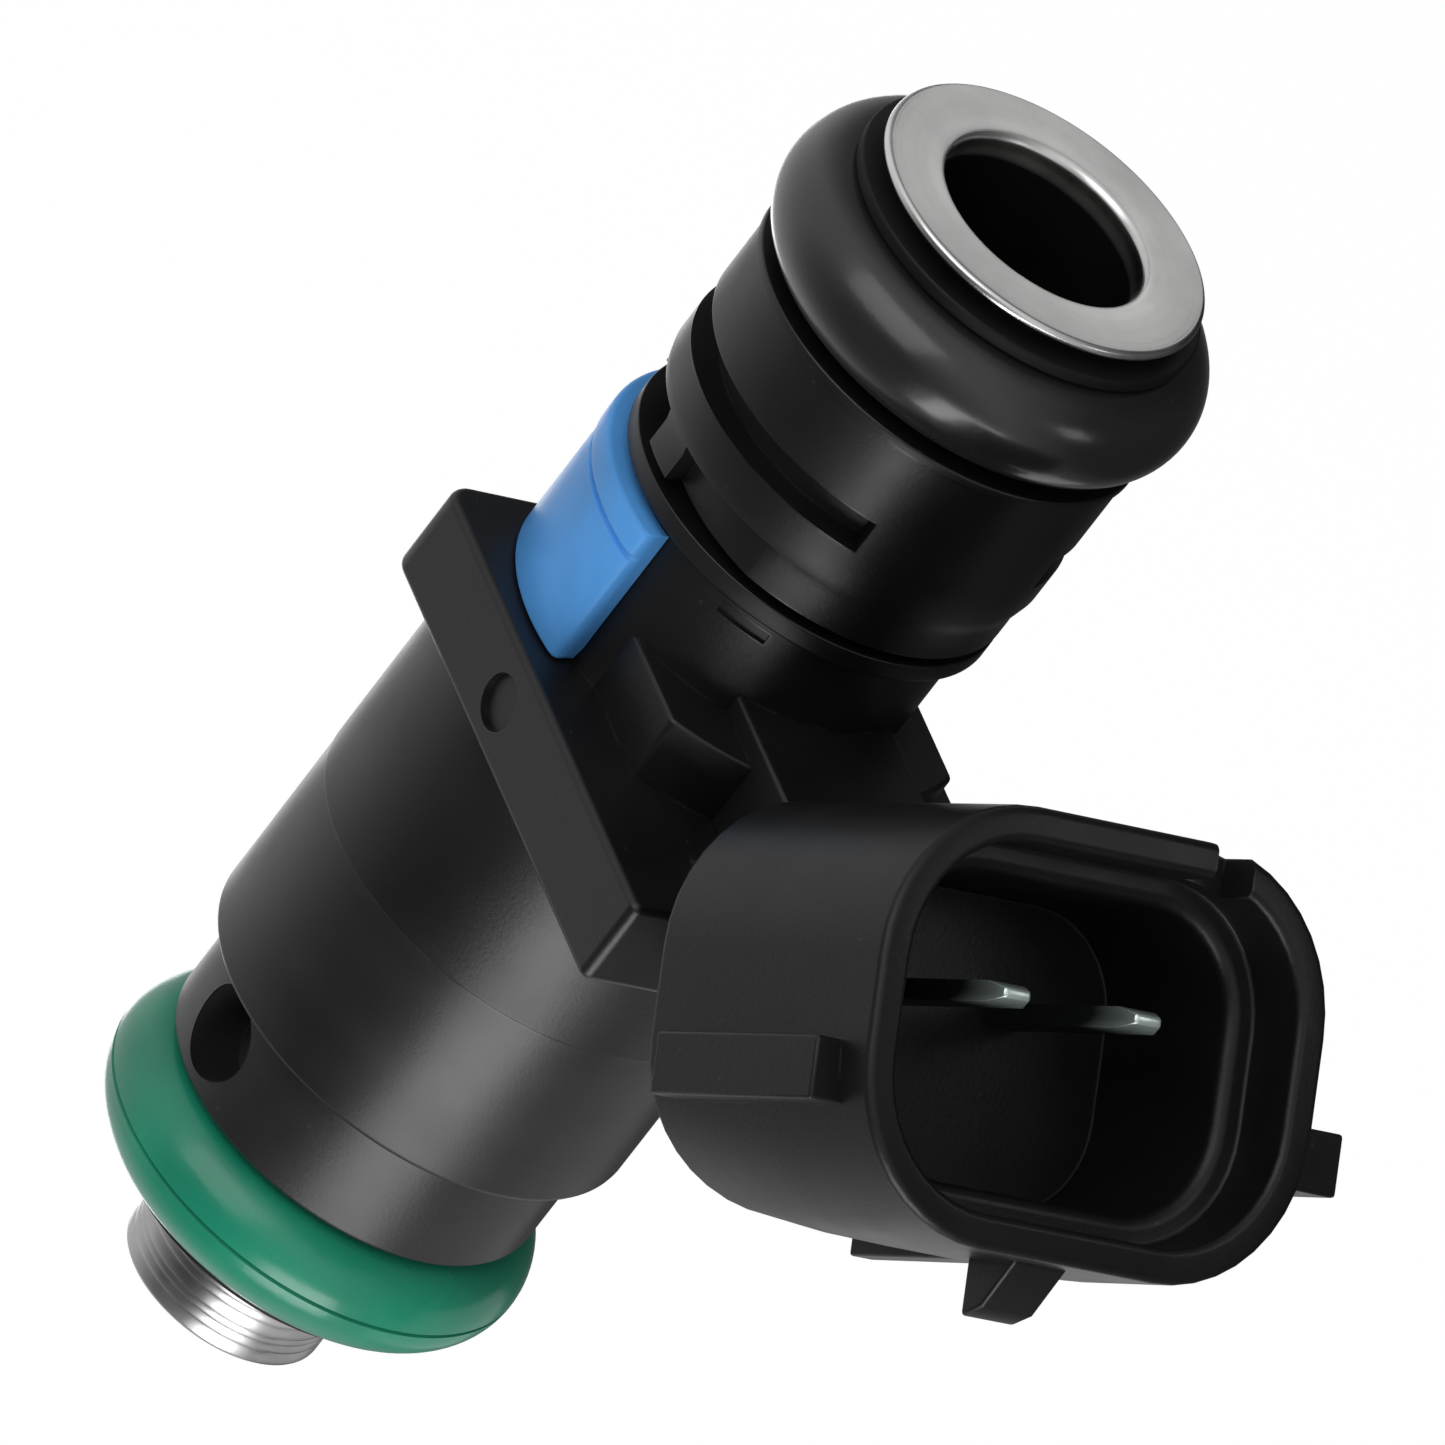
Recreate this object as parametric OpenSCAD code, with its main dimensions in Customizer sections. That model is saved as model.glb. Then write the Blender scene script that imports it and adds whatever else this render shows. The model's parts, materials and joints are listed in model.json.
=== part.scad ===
// Fuel injector for 14 mm seats: a solenoid valve with an angled two-way connector.
// Origin: centre of the lower sealing ring. +Z: along the injector, towards the fuel inlet.
// +X: the side that the connector leans to. Millimetres.

/* [Seals and seats] */
// Free outside diameter of both sealing rings
seal_d = 14.6; // [14.2:0.1:15.0]
// Distance between the two sealing rings along the injector
seal_spacing = 38; // [37.6:0.1:38.4]
// Diameter of the steel nozzle tip
tip_d = 6.9; // [6.6:0.1:7.0]
// How far the nozzle tip stands below the lower sealing ring's centre
tip_reach = 5.65; // [5.2:0.05:6.2]

/* [Solenoid] */
// Outside diameter of the solenoid housing
housing_d = 14.66; // [14.4:0.02:14.9]
// Height of the housing's bottom face
housing_z = 5.95; // [5.8:0.05:6.1]
// Height at which the plastic skirt starts on the housing
skirt_z = 12.3; // [11.5:0.1:13.5]
// Diameter of the bore that the armature slides in
core_bore_d = 6.1; // [6.0:0.02:6.2]

/* [Plastic body] */
// Height of the flange plate's lower face
flange_z = 19; // [18.9:0.05:19.2]
// Thickness of the flange plate
flange_t = 3.15; // [3.0:0.05:3.2]
// Width of the flange plate across its two flats
flange_w = 15.2; // [14.8:0.1:15.6]
// Diameter of the upper sleeve
sleeve_d = 13.2; // [13.0:0.1:13.4]
// Width of the slot for the rail's retaining clip
slot_w = 1.2; // [0.8:0.05:1.5]

/* [Connector] */
// Angle of the connector's axis above the horizontal
socket_tilt = 46; // [44:0.5:48]
// Width of the connector's mouth
socket_w = 16.6; // [16.2:0.1:16.8]
// Height of the connector's mouth
socket_h = 13.08; // [12.8:0.04:13.2]
// Distance between the two terminals
terminal_pitch = 4.9; // [4.7:0.1:5.0]

/* [Valve] */
// Lift of the needle
lift = 0.1; // [0.07:0.01:0.1]
// Diameter of the sealing ball
ball_d = 2.4; // [2.3:0.05:2.45]
// Number of spray holes
spray_holes = 4; // [3:1:6]

/* [Hidden] */
$fn = 96;
eps = 0.01;
far = 60;

seal_r = seal_d / 2;
tip_r = tip_d / 2;
tip_z = -tip_reach;
housing_r = housing_d / 2;
core_r = core_bore_d / 2;
sleeve_r = sleeve_d / 2;

// Inlet tube: a drawn steel tube with a rolled flange
tube_bore_r = 3.45;
tube_r = 3.8;
tube_step_z = 36;
tube_low_z = 26.2;
tube_low_bore_r = core_r;
tube_low_r = core_r + 0.5;
inlet_z = seal_spacing + 3.18;
inlet_flange_r = 5.55;
inlet_flange_t = 0.45;
inlet_rim_r = 0.35;

// Sealing rings: a round section, flattened where it grips the tube and where it seals
lower_section_r = 1.95;
upper_section_r = 1.85;

// Backup ring between the upper sealing ring and the inlet flange
backup_r = 5.9;
backup_z = seal_spacing + 1.9;
backup_t = 0.45;

// Needle and seat
seat_top_z = -2.0;
seat_t = 3.05;
seat_r = 2.9;
seat_cone_r = 1.5;
seat_hole_r = 0.45;
plate_t = 0.25;
plate_z = seat_top_z - seat_t - plate_t;
spray_r = 0.12;
spray_circle_r = 0.26;
ball_r = ball_d / 2;
ball_rest_gap = 0.004;
ball_z = seat_top_z - seat_cone_r + (ball_r + ball_rest_gap) * sqrt(2);
guide_t = 0.8;
guide_gap = 0.02;
guide_flow_r = 0.42;
guide_flow_circle_r = 1.95;
needle_r = 0.95;
needle_bore_r = 0.6;
needle_top_z = 9.7;
needle_port_r = 0.4;
armature_r = core_r - 0.05;
armature_low_z = 8.2;
armature_seat_z = 9.9;
armature_pocket_r = 1.55;
pole_face_z = 12.6;
pole_gap = lift + 0.02;
armature_top_z = pole_face_z - pole_gap;
pole_top_z = 28;
pole_bore_r = 1.6;

// Return spring between the armature and the adjusting sleeve
spring_wire_r = 0.17;
spring_r = 1.22;
spring_turns = 9;
spring_top_z = 19;
adjuster_t = 5;
adjuster_bore_r = 1.05;
adjuster_slit_w = 0.5;

// Valve body: the steel tube that carries the tip, the lower ring and the housing
body_step_z = 2.1;
relief_r = 3.25;
relief_z = -2.3;
relief_w = 0.6;
body_shoulder_r = 4.6;
body_neck_z = 7.2;
body_neck_r = 4.1;
body_top_z = 10.2;
body_low_bore_z = -1.2;
nonmag_top_z = 15;

// Lower collar with its cross hole
collar_r = 6.45;
collar_hole_r = 1.5;
collar_hole_z = 4.05;

// Solenoid housing and coil
housing_wall = 0.55;
housing_edge = 0.15;
skirt_r = housing_r + 0.03;
skirt_seat_r = housing_r - 0.45;
housing_top_z = 18.7;
bobbin_z = 7.6;
bobbin_top_z = 17.2;
bobbin_r = 6.1;
bobbin_hub_r = 4.7;
bobbin_bore_r = 4.15;
bobbin_flange_t = 0.75;
winding_r = 5.85;
washer_z = 17.3;
washer_t = 1.3;
washer_notch_x = 4;
washer_notch_w = 8.6;

// Flange plate, neck and web
flange_top_z = flange_z + flange_t;
flange_back_x = -5.6;
flange_front_x = 12.1;
flange_round = 0.9;
flange_front_round = 0.35;
flange_join_x = 4;
key_r = 8;
key_w = 10.6;
key_top_z = 24.44;
neck_r = 5.85;
shoulder_r = 6.4;
shoulder_z = 27.65;
shoulder_rise = 0.3;
neck_top_z = 28.58;
web_w = 5.8;
web_top_z = 25.15;
arm_w = 9;
arm_top_z = 24;
arm_z = flange_z + 0.5;

// Upper sleeve with the clip slot and the snap windows
sleeve_z = 28.6;
window_top_z = 30.3;
sleeve_foot_z = 28.95;
window_a0 = 99;
window_a1 = 140;
window_floor_r = 5.3;
ramp_a0 = 45;
ramp_a1 = 85;
ramp_shift = 1.24;
sleeve_top_z = seal_spacing - 2.2;
slot_z = 31.85;
slot_floor_r = 5.6;
slot_end_angle = 30.5;

// Blue clip
clip_z = 22.25;
clip_h = 5.35;
clip_r = 6.8;
clip_inner_r = neck_r + 0.05;
clip_end_left = 75;
clip_end_right = 80;
clip_lip = 0.08;
clip_lip_h = 1.15;

// Connector: its own frame has +z out of the mouth, +y across and +x down
mouth_x = 23.18;
mouth_z = 29.8;
socket_len = 10.9;
socket_round = 5.07;
rim_t = 1.07;
counterbore = 2.2;
ledge = 0.9;
socket_depth = 8.1;
rail_x = 2.1;
rail_h = 1.9;
rail_out_left = 0.9;
rail_out_right = 1.15;
rail_back = 9.2;
rail_front_left = 1.4;
rail_front_right = 0.05;
latch_w = 2.0;
latch_out = 1.7;
latch_slope = 0.3;
latch_front = 1.35;
latch_tip = 2.7;
latch_back = 3.65;
heel_start = 4.5;
heel_rise = 0.85;
key_notch_y = 4.1;
key_notch_w = 1.4;
key_notch_t = 0.6;

// Terminals
terminal_x = -1.1;
terminal_t = 0.64;
terminal_w = 1.5;
terminal_tip = 1.0;
terminal_edge = 0.2;
terminal_run_z = flange_z + 1.6;
terminal_drop_x = 5;

// Inlet filter
filter_top_z = tube_step_z - 0.1;
filter_ring_t = 1.2;
filter_bottom_z = 29.4;
filter_r = 2.3;
filter_rib_w = 0.5;
filter_cap_t = 0.6;
filter_rim_h = 0.8;
filter_mesh_r = filter_r - filter_rib_w;
filter_wall = 0.12;

module ring(r_out, r_in, z, h) {
  translate([0, 0, z])
    difference() {
      cylinder(h = h, r = r_out);
      translate([0, 0, -eps]) cylinder(h = h + 2 * eps, r = r_in);
    }
}

module rod(r, z0, z1) {
  translate([0, 0, z0]) cylinder(h = z1 - z0, r = r);
}

// Round section of a sealing ring, cut flat where it meets the tube and the seat
module seal_ring(section_r, grip_r, z) {
  middle_r = (grip_r + seal_r) / 2;
  translate([0, 0, z])
    rotate_extrude()
      intersection() {
        translate([middle_r, 0]) circle(r = section_r);
        translate([grip_r, -section_r]) square([seal_r - grip_r, 2 * section_r]);
      }
}

// Rectangle with four round corners, centred
module rounded_rect(x, y, r) {
  square([x - 2 * r, y], center = true);
  square([x, y - 2 * r], center = true);
  for (sx = [-1, 1], sy = [-1, 1])
    translate([sx * (x / 2 - r), sy * (y / 2 - r)]) circle(r = r);
}

// Sector between two angles, as far out as r
module sector(a0, a1, r) {
  steps = ceil((a1 - a0) / 30);
  outline = [for (i = [0:steps]) let (a = a0 + (a1 - a0) * i / steps) r * [cos(a), sin(a)]];
  polygon(concat([[0, 0]], outline));
}

module in_socket_frame() {
  translate([mouth_x, 0, mouth_z]) rotate([0, 90 - socket_tilt, 0]) children();
}

// Profile in the connector's x and z, spread evenly to both sides of its middle plane
module across_socket(w) {
  translate([0, w / 2, 0]) rotate([90, 0, 0]) linear_extrude(w) children();
}

module inlet_tube() {
  color([0.66, 0.66, 0.68])
    rotate_extrude()
      union() {
        translate([tube_low_bore_r, tube_low_z])
          square([tube_low_r - tube_low_bore_r, tube_step_z - tube_low_z]);
        translate([tube_low_bore_r, tube_step_z - 0.8]) square([tube_r - tube_low_bore_r, 0.8]);
        translate([tube_bore_r, tube_step_z - eps])
          square([tube_r - tube_bore_r, inlet_z - inlet_rim_r - tube_step_z + eps]);
        intersection() {
          translate([tube_bore_r + inlet_rim_r, inlet_z - inlet_rim_r]) circle(r = inlet_rim_r);
          translate([tube_bore_r, inlet_z - inlet_rim_r])
            square([inlet_rim_r + eps, inlet_rim_r]);
        }
        translate([tube_bore_r + inlet_rim_r, inlet_z - inlet_flange_t])
          square([inlet_flange_r - tube_bore_r - inlet_rim_r - 0.12, inlet_flange_t]);
        translate([tube_bore_r + inlet_rim_r, inlet_z - inlet_flange_t + 0.06])
          square([inlet_flange_r - tube_bore_r - inlet_rim_r, inlet_flange_t - 0.18]);
      }
}

module filter_ring() {
  color([0.75, 0.62, 0.35])
    ring(tube_low_bore_r, filter_r + 0.1, filter_top_z - filter_ring_t, filter_ring_t);
}

module filter_basket() {
  rib_h = filter_top_z - filter_bottom_z - 0.2;
  color([0.2, 0.45, 0.3])
    union() {
      ring(filter_r + 0.1, filter_mesh_r, filter_top_z - filter_rim_h, filter_rim_h);
      rod(filter_r, filter_bottom_z, filter_bottom_z + filter_cap_t);
      for (a = [0:120:240])
        rotate([0, 0, a])
          translate([filter_r - filter_rib_w, -filter_rib_w / 2, filter_bottom_z])
            cube([filter_rib_w, filter_rib_w, rib_h]);
    }
}

module filter_mesh() {
  low_z = filter_bottom_z + filter_cap_t;
  color([0.8, 0.78, 0.7])
    ring(filter_mesh_r, filter_mesh_r - filter_wall, low_z, filter_top_z - low_z);
}

module adjusting_sleeve() {
  color([0.7, 0.7, 0.68])
    difference() {
      ring(pole_bore_r, adjuster_bore_r, spring_top_z, adjuster_t);
      translate([0, -adjuster_slit_w / 2, spring_top_z - 1])
        cube([pole_bore_r + 1, adjuster_slit_w, adjuster_t + 2]);
    }
}

// Helix of round wire as one closed tube; its end turns lie flat
module return_spring() {
  sides = 8;
  per_turn = 14;
  steps = spring_turns * per_turn;
  low = armature_seat_z + spring_wire_r + 0.02;
  high = spring_top_z - spring_wire_r - 0.02;
  function turn_of(i) = i / per_turn;
  function climb(t) = t < 1 ? t * t * 0.5 : t - 0.5;
  function height(i) =
    let (t = turn_of(i), whole = spring_turns - 1)
    let (c = t < spring_turns / 2 ? climb(t) : whole - climb(spring_turns - t))
    low + (high - low) * c / whole;
  points = [
    for (i = [0:steps], k = [0:sides - 1])
      let (a = 360 * turn_of(i), b = 360 * k / sides, r = spring_r + spring_wire_r * cos(b))
      [r * cos(a), r * sin(a), height(i) + spring_wire_r * sin(b)]
  ];
  walls = [
    for (i = [0:steps - 1], k = [0:sides - 1])
      let (n = (k + 1) % sides)
      [i * sides + k, (i + 1) * sides + k, (i + 1) * sides + n, i * sides + n]
  ];
  first = [for (k = [0:sides - 1]) k];
  last = [for (k = [sides - 1:-1:0]) steps * sides + k];
  color([0.6, 0.6, 0.62]) polyhedron(points, concat(walls, [first, last]));
}

module pole_piece() {
  color([0.55, 0.55, 0.57]) ring(core_r, pole_bore_r, pole_face_z, pole_top_z - pole_face_z);
}

module nonmagnetic_sleeve() {
  color([0.72, 0.72, 0.74]) ring(body_neck_r, core_r, body_top_z, nonmag_top_z - body_top_z);
}

module armature() {
  color([0.5, 0.5, 0.52])
    difference() {
      ring(armature_r, needle_r, armature_low_z, armature_top_z - armature_low_z);
      rod(armature_pocket_r, armature_seat_z, armature_top_z + 1);
    }
}

module needle_tube() {
  color([0.68, 0.68, 0.7])
    difference() {
      ring(needle_r, needle_bore_r, ball_z, needle_top_z - ball_z);
      translate([0, 0, ball_z]) sphere(r = ball_r);
      for (a = [0, 90])
        translate([0, 0, 1.6]) rotate([90, 0, a]) cylinder(h = 4, r = needle_port_r, center = true);
    }
}

module valve_ball() {
  color([0.8, 0.8, 0.82]) translate([0, 0, ball_z]) sphere(r = ball_r);
}

module ball_guide() {
  color([0.6, 0.6, 0.6])
    difference() {
      ring(seat_r, ball_r + guide_gap, seat_top_z, guide_t);
      for (a = [45:90:315])
        rotate([0, 0, a])
          translate([guide_flow_circle_r, 0, seat_top_z - 1]) cylinder(h = guide_t + 2, r = guide_flow_r);
    }
}

module valve_seat() {
  floor_z = seat_top_z - seat_t;
  cone_z = seat_top_z - (seat_cone_r - seat_hole_r);
  color([0.62, 0.62, 0.64])
    rotate_extrude()
      polygon([
        [seat_hole_r, floor_z],
        [seat_r, floor_z],
        [seat_r, seat_top_z],
        [seat_cone_r, seat_top_z],
        [seat_hole_r, cone_z]
      ]);
}

module orifice_plate() {
  color([0.75, 0.75, 0.77])
    difference() {
      rod(seat_r, plate_z, plate_z + plate_t);
      for (i = [0:spray_holes - 1])
        rotate([0, 0, 360 * i / spray_holes])
          translate([spray_circle_r, 0, plate_z - 1]) cylinder(h = plate_t + 2, r = spray_r);
    }
}

module valve_body() {
  color([0.6, 0.6, 0.61])
    difference() {
      union() {
        rod(tip_r, tip_z, body_step_z);
        rod(body_shoulder_r, body_step_z, body_neck_z);
        rod(body_neck_r, body_neck_z, body_top_z);
      }
      rod(seat_r, tip_z - 1, body_low_bore_z);
      rod(seat_r - 0.3, body_low_bore_z - eps, 3);
      rod(core_r, 3, body_top_z + 1);
      ring(tip_r + 1, relief_r, relief_z, relief_w);
    }
}

module lower_oring() {
  color([0.13, 0.47, 0.35]) seal_ring(lower_section_r, tip_r, 0);
}

module lower_collar() {
  color([0.13, 0.13, 0.14])
    difference() {
      ring(collar_r, body_shoulder_r, body_step_z, housing_z - body_step_z);
      translate([0, 0, collar_hole_z])
        rotate([90, 0, 0]) cylinder(h = far, r = collar_hole_r, center = true);
    }
}

module solenoid_housing() {
  color([0.2, 0.2, 0.21])
    difference() {
      union() {
        rod(housing_r - housing_edge, housing_z, housing_z + housing_edge);
        rod(housing_r, housing_z + housing_edge, skirt_z);
        rod(skirt_seat_r, skirt_z - eps, housing_top_z);
      }
      rod(body_shoulder_r, housing_z - 1, body_neck_z);
      rod(skirt_seat_r - housing_wall, body_neck_z - eps, housing_top_z + 1);
    }
}

module coil_bobbin() {
  color([0.85, 0.82, 0.72])
    difference() {
      union() {
        ring(bobbin_r, bobbin_bore_r, bobbin_z, bobbin_flange_t);
        ring(bobbin_hub_r, bobbin_bore_r, bobbin_z, bobbin_top_z - bobbin_z);
        ring(bobbin_r, bobbin_bore_r, bobbin_top_z - bobbin_flange_t, bobbin_flange_t);
      }
    }
}

module coil_winding() {
  low = bobbin_z + bobbin_flange_t;
  color([0.72, 0.4, 0.2])
    ring(winding_r, bobbin_hub_r, low, bobbin_top_z - bobbin_z - 2 * bobbin_flange_t);
}

// Steel disc on the coil, with a notch that the terminals come up through
module flux_washer() {
  color([0.45, 0.45, 0.47])
    difference() {
      ring(skirt_seat_r - housing_wall - 0.01, core_r, washer_z, washer_t);
      translate([washer_notch_x, -washer_notch_w / 2, washer_z - 1])
        cube([far, washer_notch_w, washer_t + 2]);
    }
}

// Flat blade: up from the bobbin, out along the flange, then out of the socket
module terminal(side) {
  y = side * terminal_pitch / 2 - terminal_w / 2;
  half_t = terminal_t / 2;
  bend_w = (mouth_z - terminal_x * cos(socket_tilt) - terminal_run_z) / sin(socket_tilt);
  bend_x = mouth_x - bend_w * cos(socket_tilt) + terminal_x * sin(socket_tilt);
  color([0.78, 0.79, 0.76])
    union() {
      in_socket_frame()
        difference() {
          translate([terminal_x - half_t, y, -bend_w - half_t])
            cube([terminal_t, terminal_w, bend_w + half_t - terminal_tip]);
          for (s = [-1, 1])
            translate([terminal_x + s * half_t, y + terminal_w / 2, -terminal_tip])
              rotate([0, 45, 0]) cube([terminal_edge, 2 * terminal_w, terminal_edge], center = true);
        }
      translate([terminal_drop_x - half_t, y, terminal_run_z - half_t])
        cube([bend_x - terminal_drop_x + terminal_t, terminal_w, terminal_t]);
      translate([terminal_drop_x - half_t, y, bobbin_top_z])
        cube([terminal_t, terminal_w, terminal_run_z - bobbin_top_z + half_t]);
    }
}

module terminal_left() terminal(-1);
module terminal_right() terminal(1);

// Block of plastic behind the connector's back face, w wide, with this outline in x and z
module behind_connector(w, outline) {
  intersection() {
    translate([0, w / 2, 0]) rotate([90, 0, 0]) linear_extrude(w) polygon(outline);
    in_socket_frame() translate([-far, -far, -far - socket_len]) cube([2 * far, 2 * far, far]);
  }
}

// One end of the flange plate's outline, from x0 to x1, its corners rounded by r
module flange_half(x0, x1, r) {
  translate([(x0 + x1) / 2, 0]) rounded_rect(x1 - x0, flange_w, r);
}

module neck_body() {
  color([0.17, 0.17, 0.18])
    difference() {
      union() {
        rod(skirt_r, skirt_z, flange_z + eps);
        translate([0, 0, flange_z])
          linear_extrude(flange_t) {
            flange_half(flange_back_x, flange_join_x + flange_round, flange_round);
            flange_half(flange_join_x - flange_round, flange_front_x, flange_front_round);
          }
        intersection() {
          rod(key_r, flange_top_z - eps, key_top_z);
          translate([0, -key_w / 2, 0]) cube([far, key_w, far]);
        }
        rod(neck_r, flange_z, neck_top_z);
        translate([0, 0, shoulder_z])
          cylinder(h = shoulder_rise, r1 = neck_r, r2 = shoulder_r);
        rod(shoulder_r, shoulder_z + shoulder_rise - eps, neck_top_z);
        behind_connector(web_w, [
          [0, flange_z + 1],
          [far, flange_z + 1],
          [far, web_top_z],
          [0, web_top_z]
        ]);
        behind_connector(arm_w, [
          [flange_front_x - 1, arm_z],
          [far, arm_z],
          [far, arm_top_z],
          [flange_front_x, arm_top_z],
          [flange_front_x - 3, flange_top_z - 0.1]
        ]);
      }
      rod(skirt_seat_r, skirt_z - 1, housing_top_z);
      rod(core_r, housing_top_z - 1, tube_low_z + eps);
      rod(tube_low_r, tube_low_z, neck_top_z + 1);
      terminal_left();
      terminal_right();
    }
}

module connector_shell() {
  bore_x = socket_h - 2 * (rim_t + ledge);
  bore_y = socket_w - 2 * (rim_t + ledge);
  color([0.18, 0.18, 0.18])
    difference() {
      in_socket_frame()
        difference() {
          union() {
            translate([0, 0, -socket_len])
              linear_extrude(socket_len) rounded_rect(socket_h, socket_w, socket_round);
            translate([rail_x - rail_h / 2, -socket_w / 2 - rail_out_left, -rail_back])
              cube([rail_h, rail_out_left + 0.5, rail_back - rail_front_left]);
            translate([rail_x - rail_h / 2, socket_w / 2 - 0.5, -rail_back])
              cube([rail_h, rail_out_right + 0.5, rail_back - rail_front_right]);
            across_socket(latch_w)
              polygon([
                [socket_h / 2 - 0.3, -latch_front],
                [socket_h / 2, -latch_front],
                [socket_h / 2 + latch_out - latch_slope, -latch_tip],
                [socket_h / 2 + latch_out, -latch_back],
                [socket_h / 2 - 0.3, -latch_back]
              ]);
          }
          translate([0, 0, -counterbore])
            linear_extrude(counterbore + 1)
              rounded_rect(socket_h - 2 * rim_t, socket_w - 2 * rim_t, socket_round - rim_t);
          translate([0, 0, -socket_depth])
            linear_extrude(socket_depth)
              rounded_rect(bore_x, bore_y, socket_round - rim_t - ledge);
          translate([-socket_h / 2 + rim_t - key_notch_t, key_notch_y - key_notch_w / 2, -counterbore])
            cube([key_notch_t + 0.5, key_notch_w, counterbore + 1]);
          across_socket(far)
            polygon([
              [socket_h / 2, -heel_start],
              [socket_h / 2 + 1, -heel_start],
              [socket_h / 2 + 1, -socket_len - 1],
              [socket_h / 2 - heel_rise, -socket_len - 1],
              [socket_h / 2 - heel_rise, -socket_len]
            ]);
        }
      terminal_left();
      terminal_right();
    }
}

// Sleeve with the slot for the rail's clip; below it a snap window and a ramp on each side
module upper_sleeve() {
  window_h = window_top_z - sleeve_z;
  color([0.17, 0.17, 0.18])
    difference() {
      union() {
        rod(shoulder_r, sleeve_z, window_top_z + eps);
        rod(sleeve_r, window_top_z, sleeve_top_z);
      }
      ring(sleeve_r + 1, window_floor_r, sleeve_z - 1, sleeve_foot_z - sleeve_z + 1);
      rod(tube_low_r, sleeve_z - 1, tube_step_z - 0.8);
      rod(tube_r, tube_step_z - 0.8 - eps, sleeve_top_z + 1);
      translate([0, 0, slot_z])
        difference() {
          linear_extrude(slot_w) sector(slot_end_angle, 360 - slot_end_angle, sleeve_r * 2);
          translate([0, 0, -1]) cylinder(h = slot_w + 2, r = slot_floor_r);
        }
      for (side = [0, 1])
        mirror([0, side, 0])
          translate([0, 0, sleeve_z - 1]) {
            difference() {
              linear_extrude(window_h + 1) sector(window_a0, window_a1, sleeve_r * 2);
              translate([0, 0, -1]) cylinder(h = window_h + 3, r = window_floor_r);
            }
            difference() {
              linear_extrude(window_h + 1) sector(ramp_a0, ramp_a1, sleeve_r * 2);
              translate([ramp_shift * cos(ramp_a0 - 90), ramp_shift * sin(ramp_a0 - 90), -1])
                cylinder(h = window_h + 3, r = sleeve_r);
            }
          }
    }
}

module blue_clip() {
  color([0.27, 0.51, 0.8])
    difference() {
      union() {
        ring(clip_r, clip_inner_r, clip_z, clip_h);
        ring(clip_r + clip_lip, clip_inner_r, clip_z + clip_h - clip_lip_h, clip_lip_h);
      }
      translate([0, 0, clip_z - 1])
        linear_extrude(clip_h + 2) sector(-clip_end_left, clip_end_right, clip_r * 3);
    }
}

module upper_oring() {
  color([0.15, 0.15, 0.16]) seal_ring(upper_section_r, tube_r, seal_spacing);
}

module backup_ring() {
  color([0.12, 0.12, 0.13]) ring(backup_r, tube_r, backup_z, backup_t);
}

inlet_tube();
filter_ring();
filter_basket();
filter_mesh();
adjusting_sleeve();
return_spring();
pole_piece();
nonmagnetic_sleeve();
armature();
needle_tube();
valve_ball();
ball_guide();
valve_seat();
orifice_plate();
valve_body();
lower_oring();
lower_collar();
solenoid_housing();
coil_bobbin();
coil_winding();
flux_washer();
terminal_left();
terminal_right();
neck_body();
connector_shell();
upper_sleeve();
blue_clip();
upper_oring();
backup_ring();
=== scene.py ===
"""Fuel injector: the looks of each sub-assembly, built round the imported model.

Sizes are in millimetres in the injector's own frame: the origin is the centre of the lower
sealing ring, Z runs to the fuel inlet and X points to the side that the connector leans to.
A piece is shaped in millimetres and becomes metres when it is finished.
"""

import json
import logging
import math
from dataclasses import dataclass, field
from enum import Enum
from typing import Callable, Iterable

import bmesh
import bpy
from mathutils import Matrix, Vector

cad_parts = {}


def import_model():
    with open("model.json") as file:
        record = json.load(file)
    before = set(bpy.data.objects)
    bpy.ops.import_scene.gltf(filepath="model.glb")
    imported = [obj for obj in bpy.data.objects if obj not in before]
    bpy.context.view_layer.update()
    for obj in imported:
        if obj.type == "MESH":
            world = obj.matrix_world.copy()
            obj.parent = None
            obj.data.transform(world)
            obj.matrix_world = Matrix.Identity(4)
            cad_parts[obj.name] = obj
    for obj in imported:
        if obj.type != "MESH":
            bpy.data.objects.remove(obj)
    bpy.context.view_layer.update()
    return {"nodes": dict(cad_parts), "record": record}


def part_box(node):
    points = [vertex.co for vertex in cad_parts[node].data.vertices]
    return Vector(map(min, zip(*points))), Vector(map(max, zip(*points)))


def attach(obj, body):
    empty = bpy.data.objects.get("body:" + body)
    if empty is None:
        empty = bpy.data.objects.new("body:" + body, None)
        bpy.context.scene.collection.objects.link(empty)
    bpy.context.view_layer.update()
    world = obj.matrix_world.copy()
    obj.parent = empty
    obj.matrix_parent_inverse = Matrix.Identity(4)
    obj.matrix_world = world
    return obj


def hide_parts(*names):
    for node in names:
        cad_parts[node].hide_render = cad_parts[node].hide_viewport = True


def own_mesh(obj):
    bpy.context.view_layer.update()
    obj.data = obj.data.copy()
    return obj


Rgb = tuple[float, float, float]
Point = tuple[float, float, float]
Signal = bpy.types.NodeSocket | float
Tint = bpy.types.NodeSocket | Rgb

LOG = logging.getLogger("injector")
MM = 0.001
BODY = "injector_body"
Z_AXIS = Vector((0, 0, 1))
STEPS = 144           # steps in a full turn
MERGE = 1e-4          # points closer than this become one, in mm
ON_PLANE = 1e-5       # points this close to a cutting plane lie on it, in mm
NEAR = 0.01           # an edge or face this close to a height lies at it, in mm
SEAM_SHARE = 0.4      # half a mould line's width, as a share of one side of its ring's section


# ---------------------------------------------------------------- shaping


class Joint(Enum):
    """The ways that one stock is combined with another."""

    UNITE = "UNION"
    CUT = "DIFFERENCE"


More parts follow.
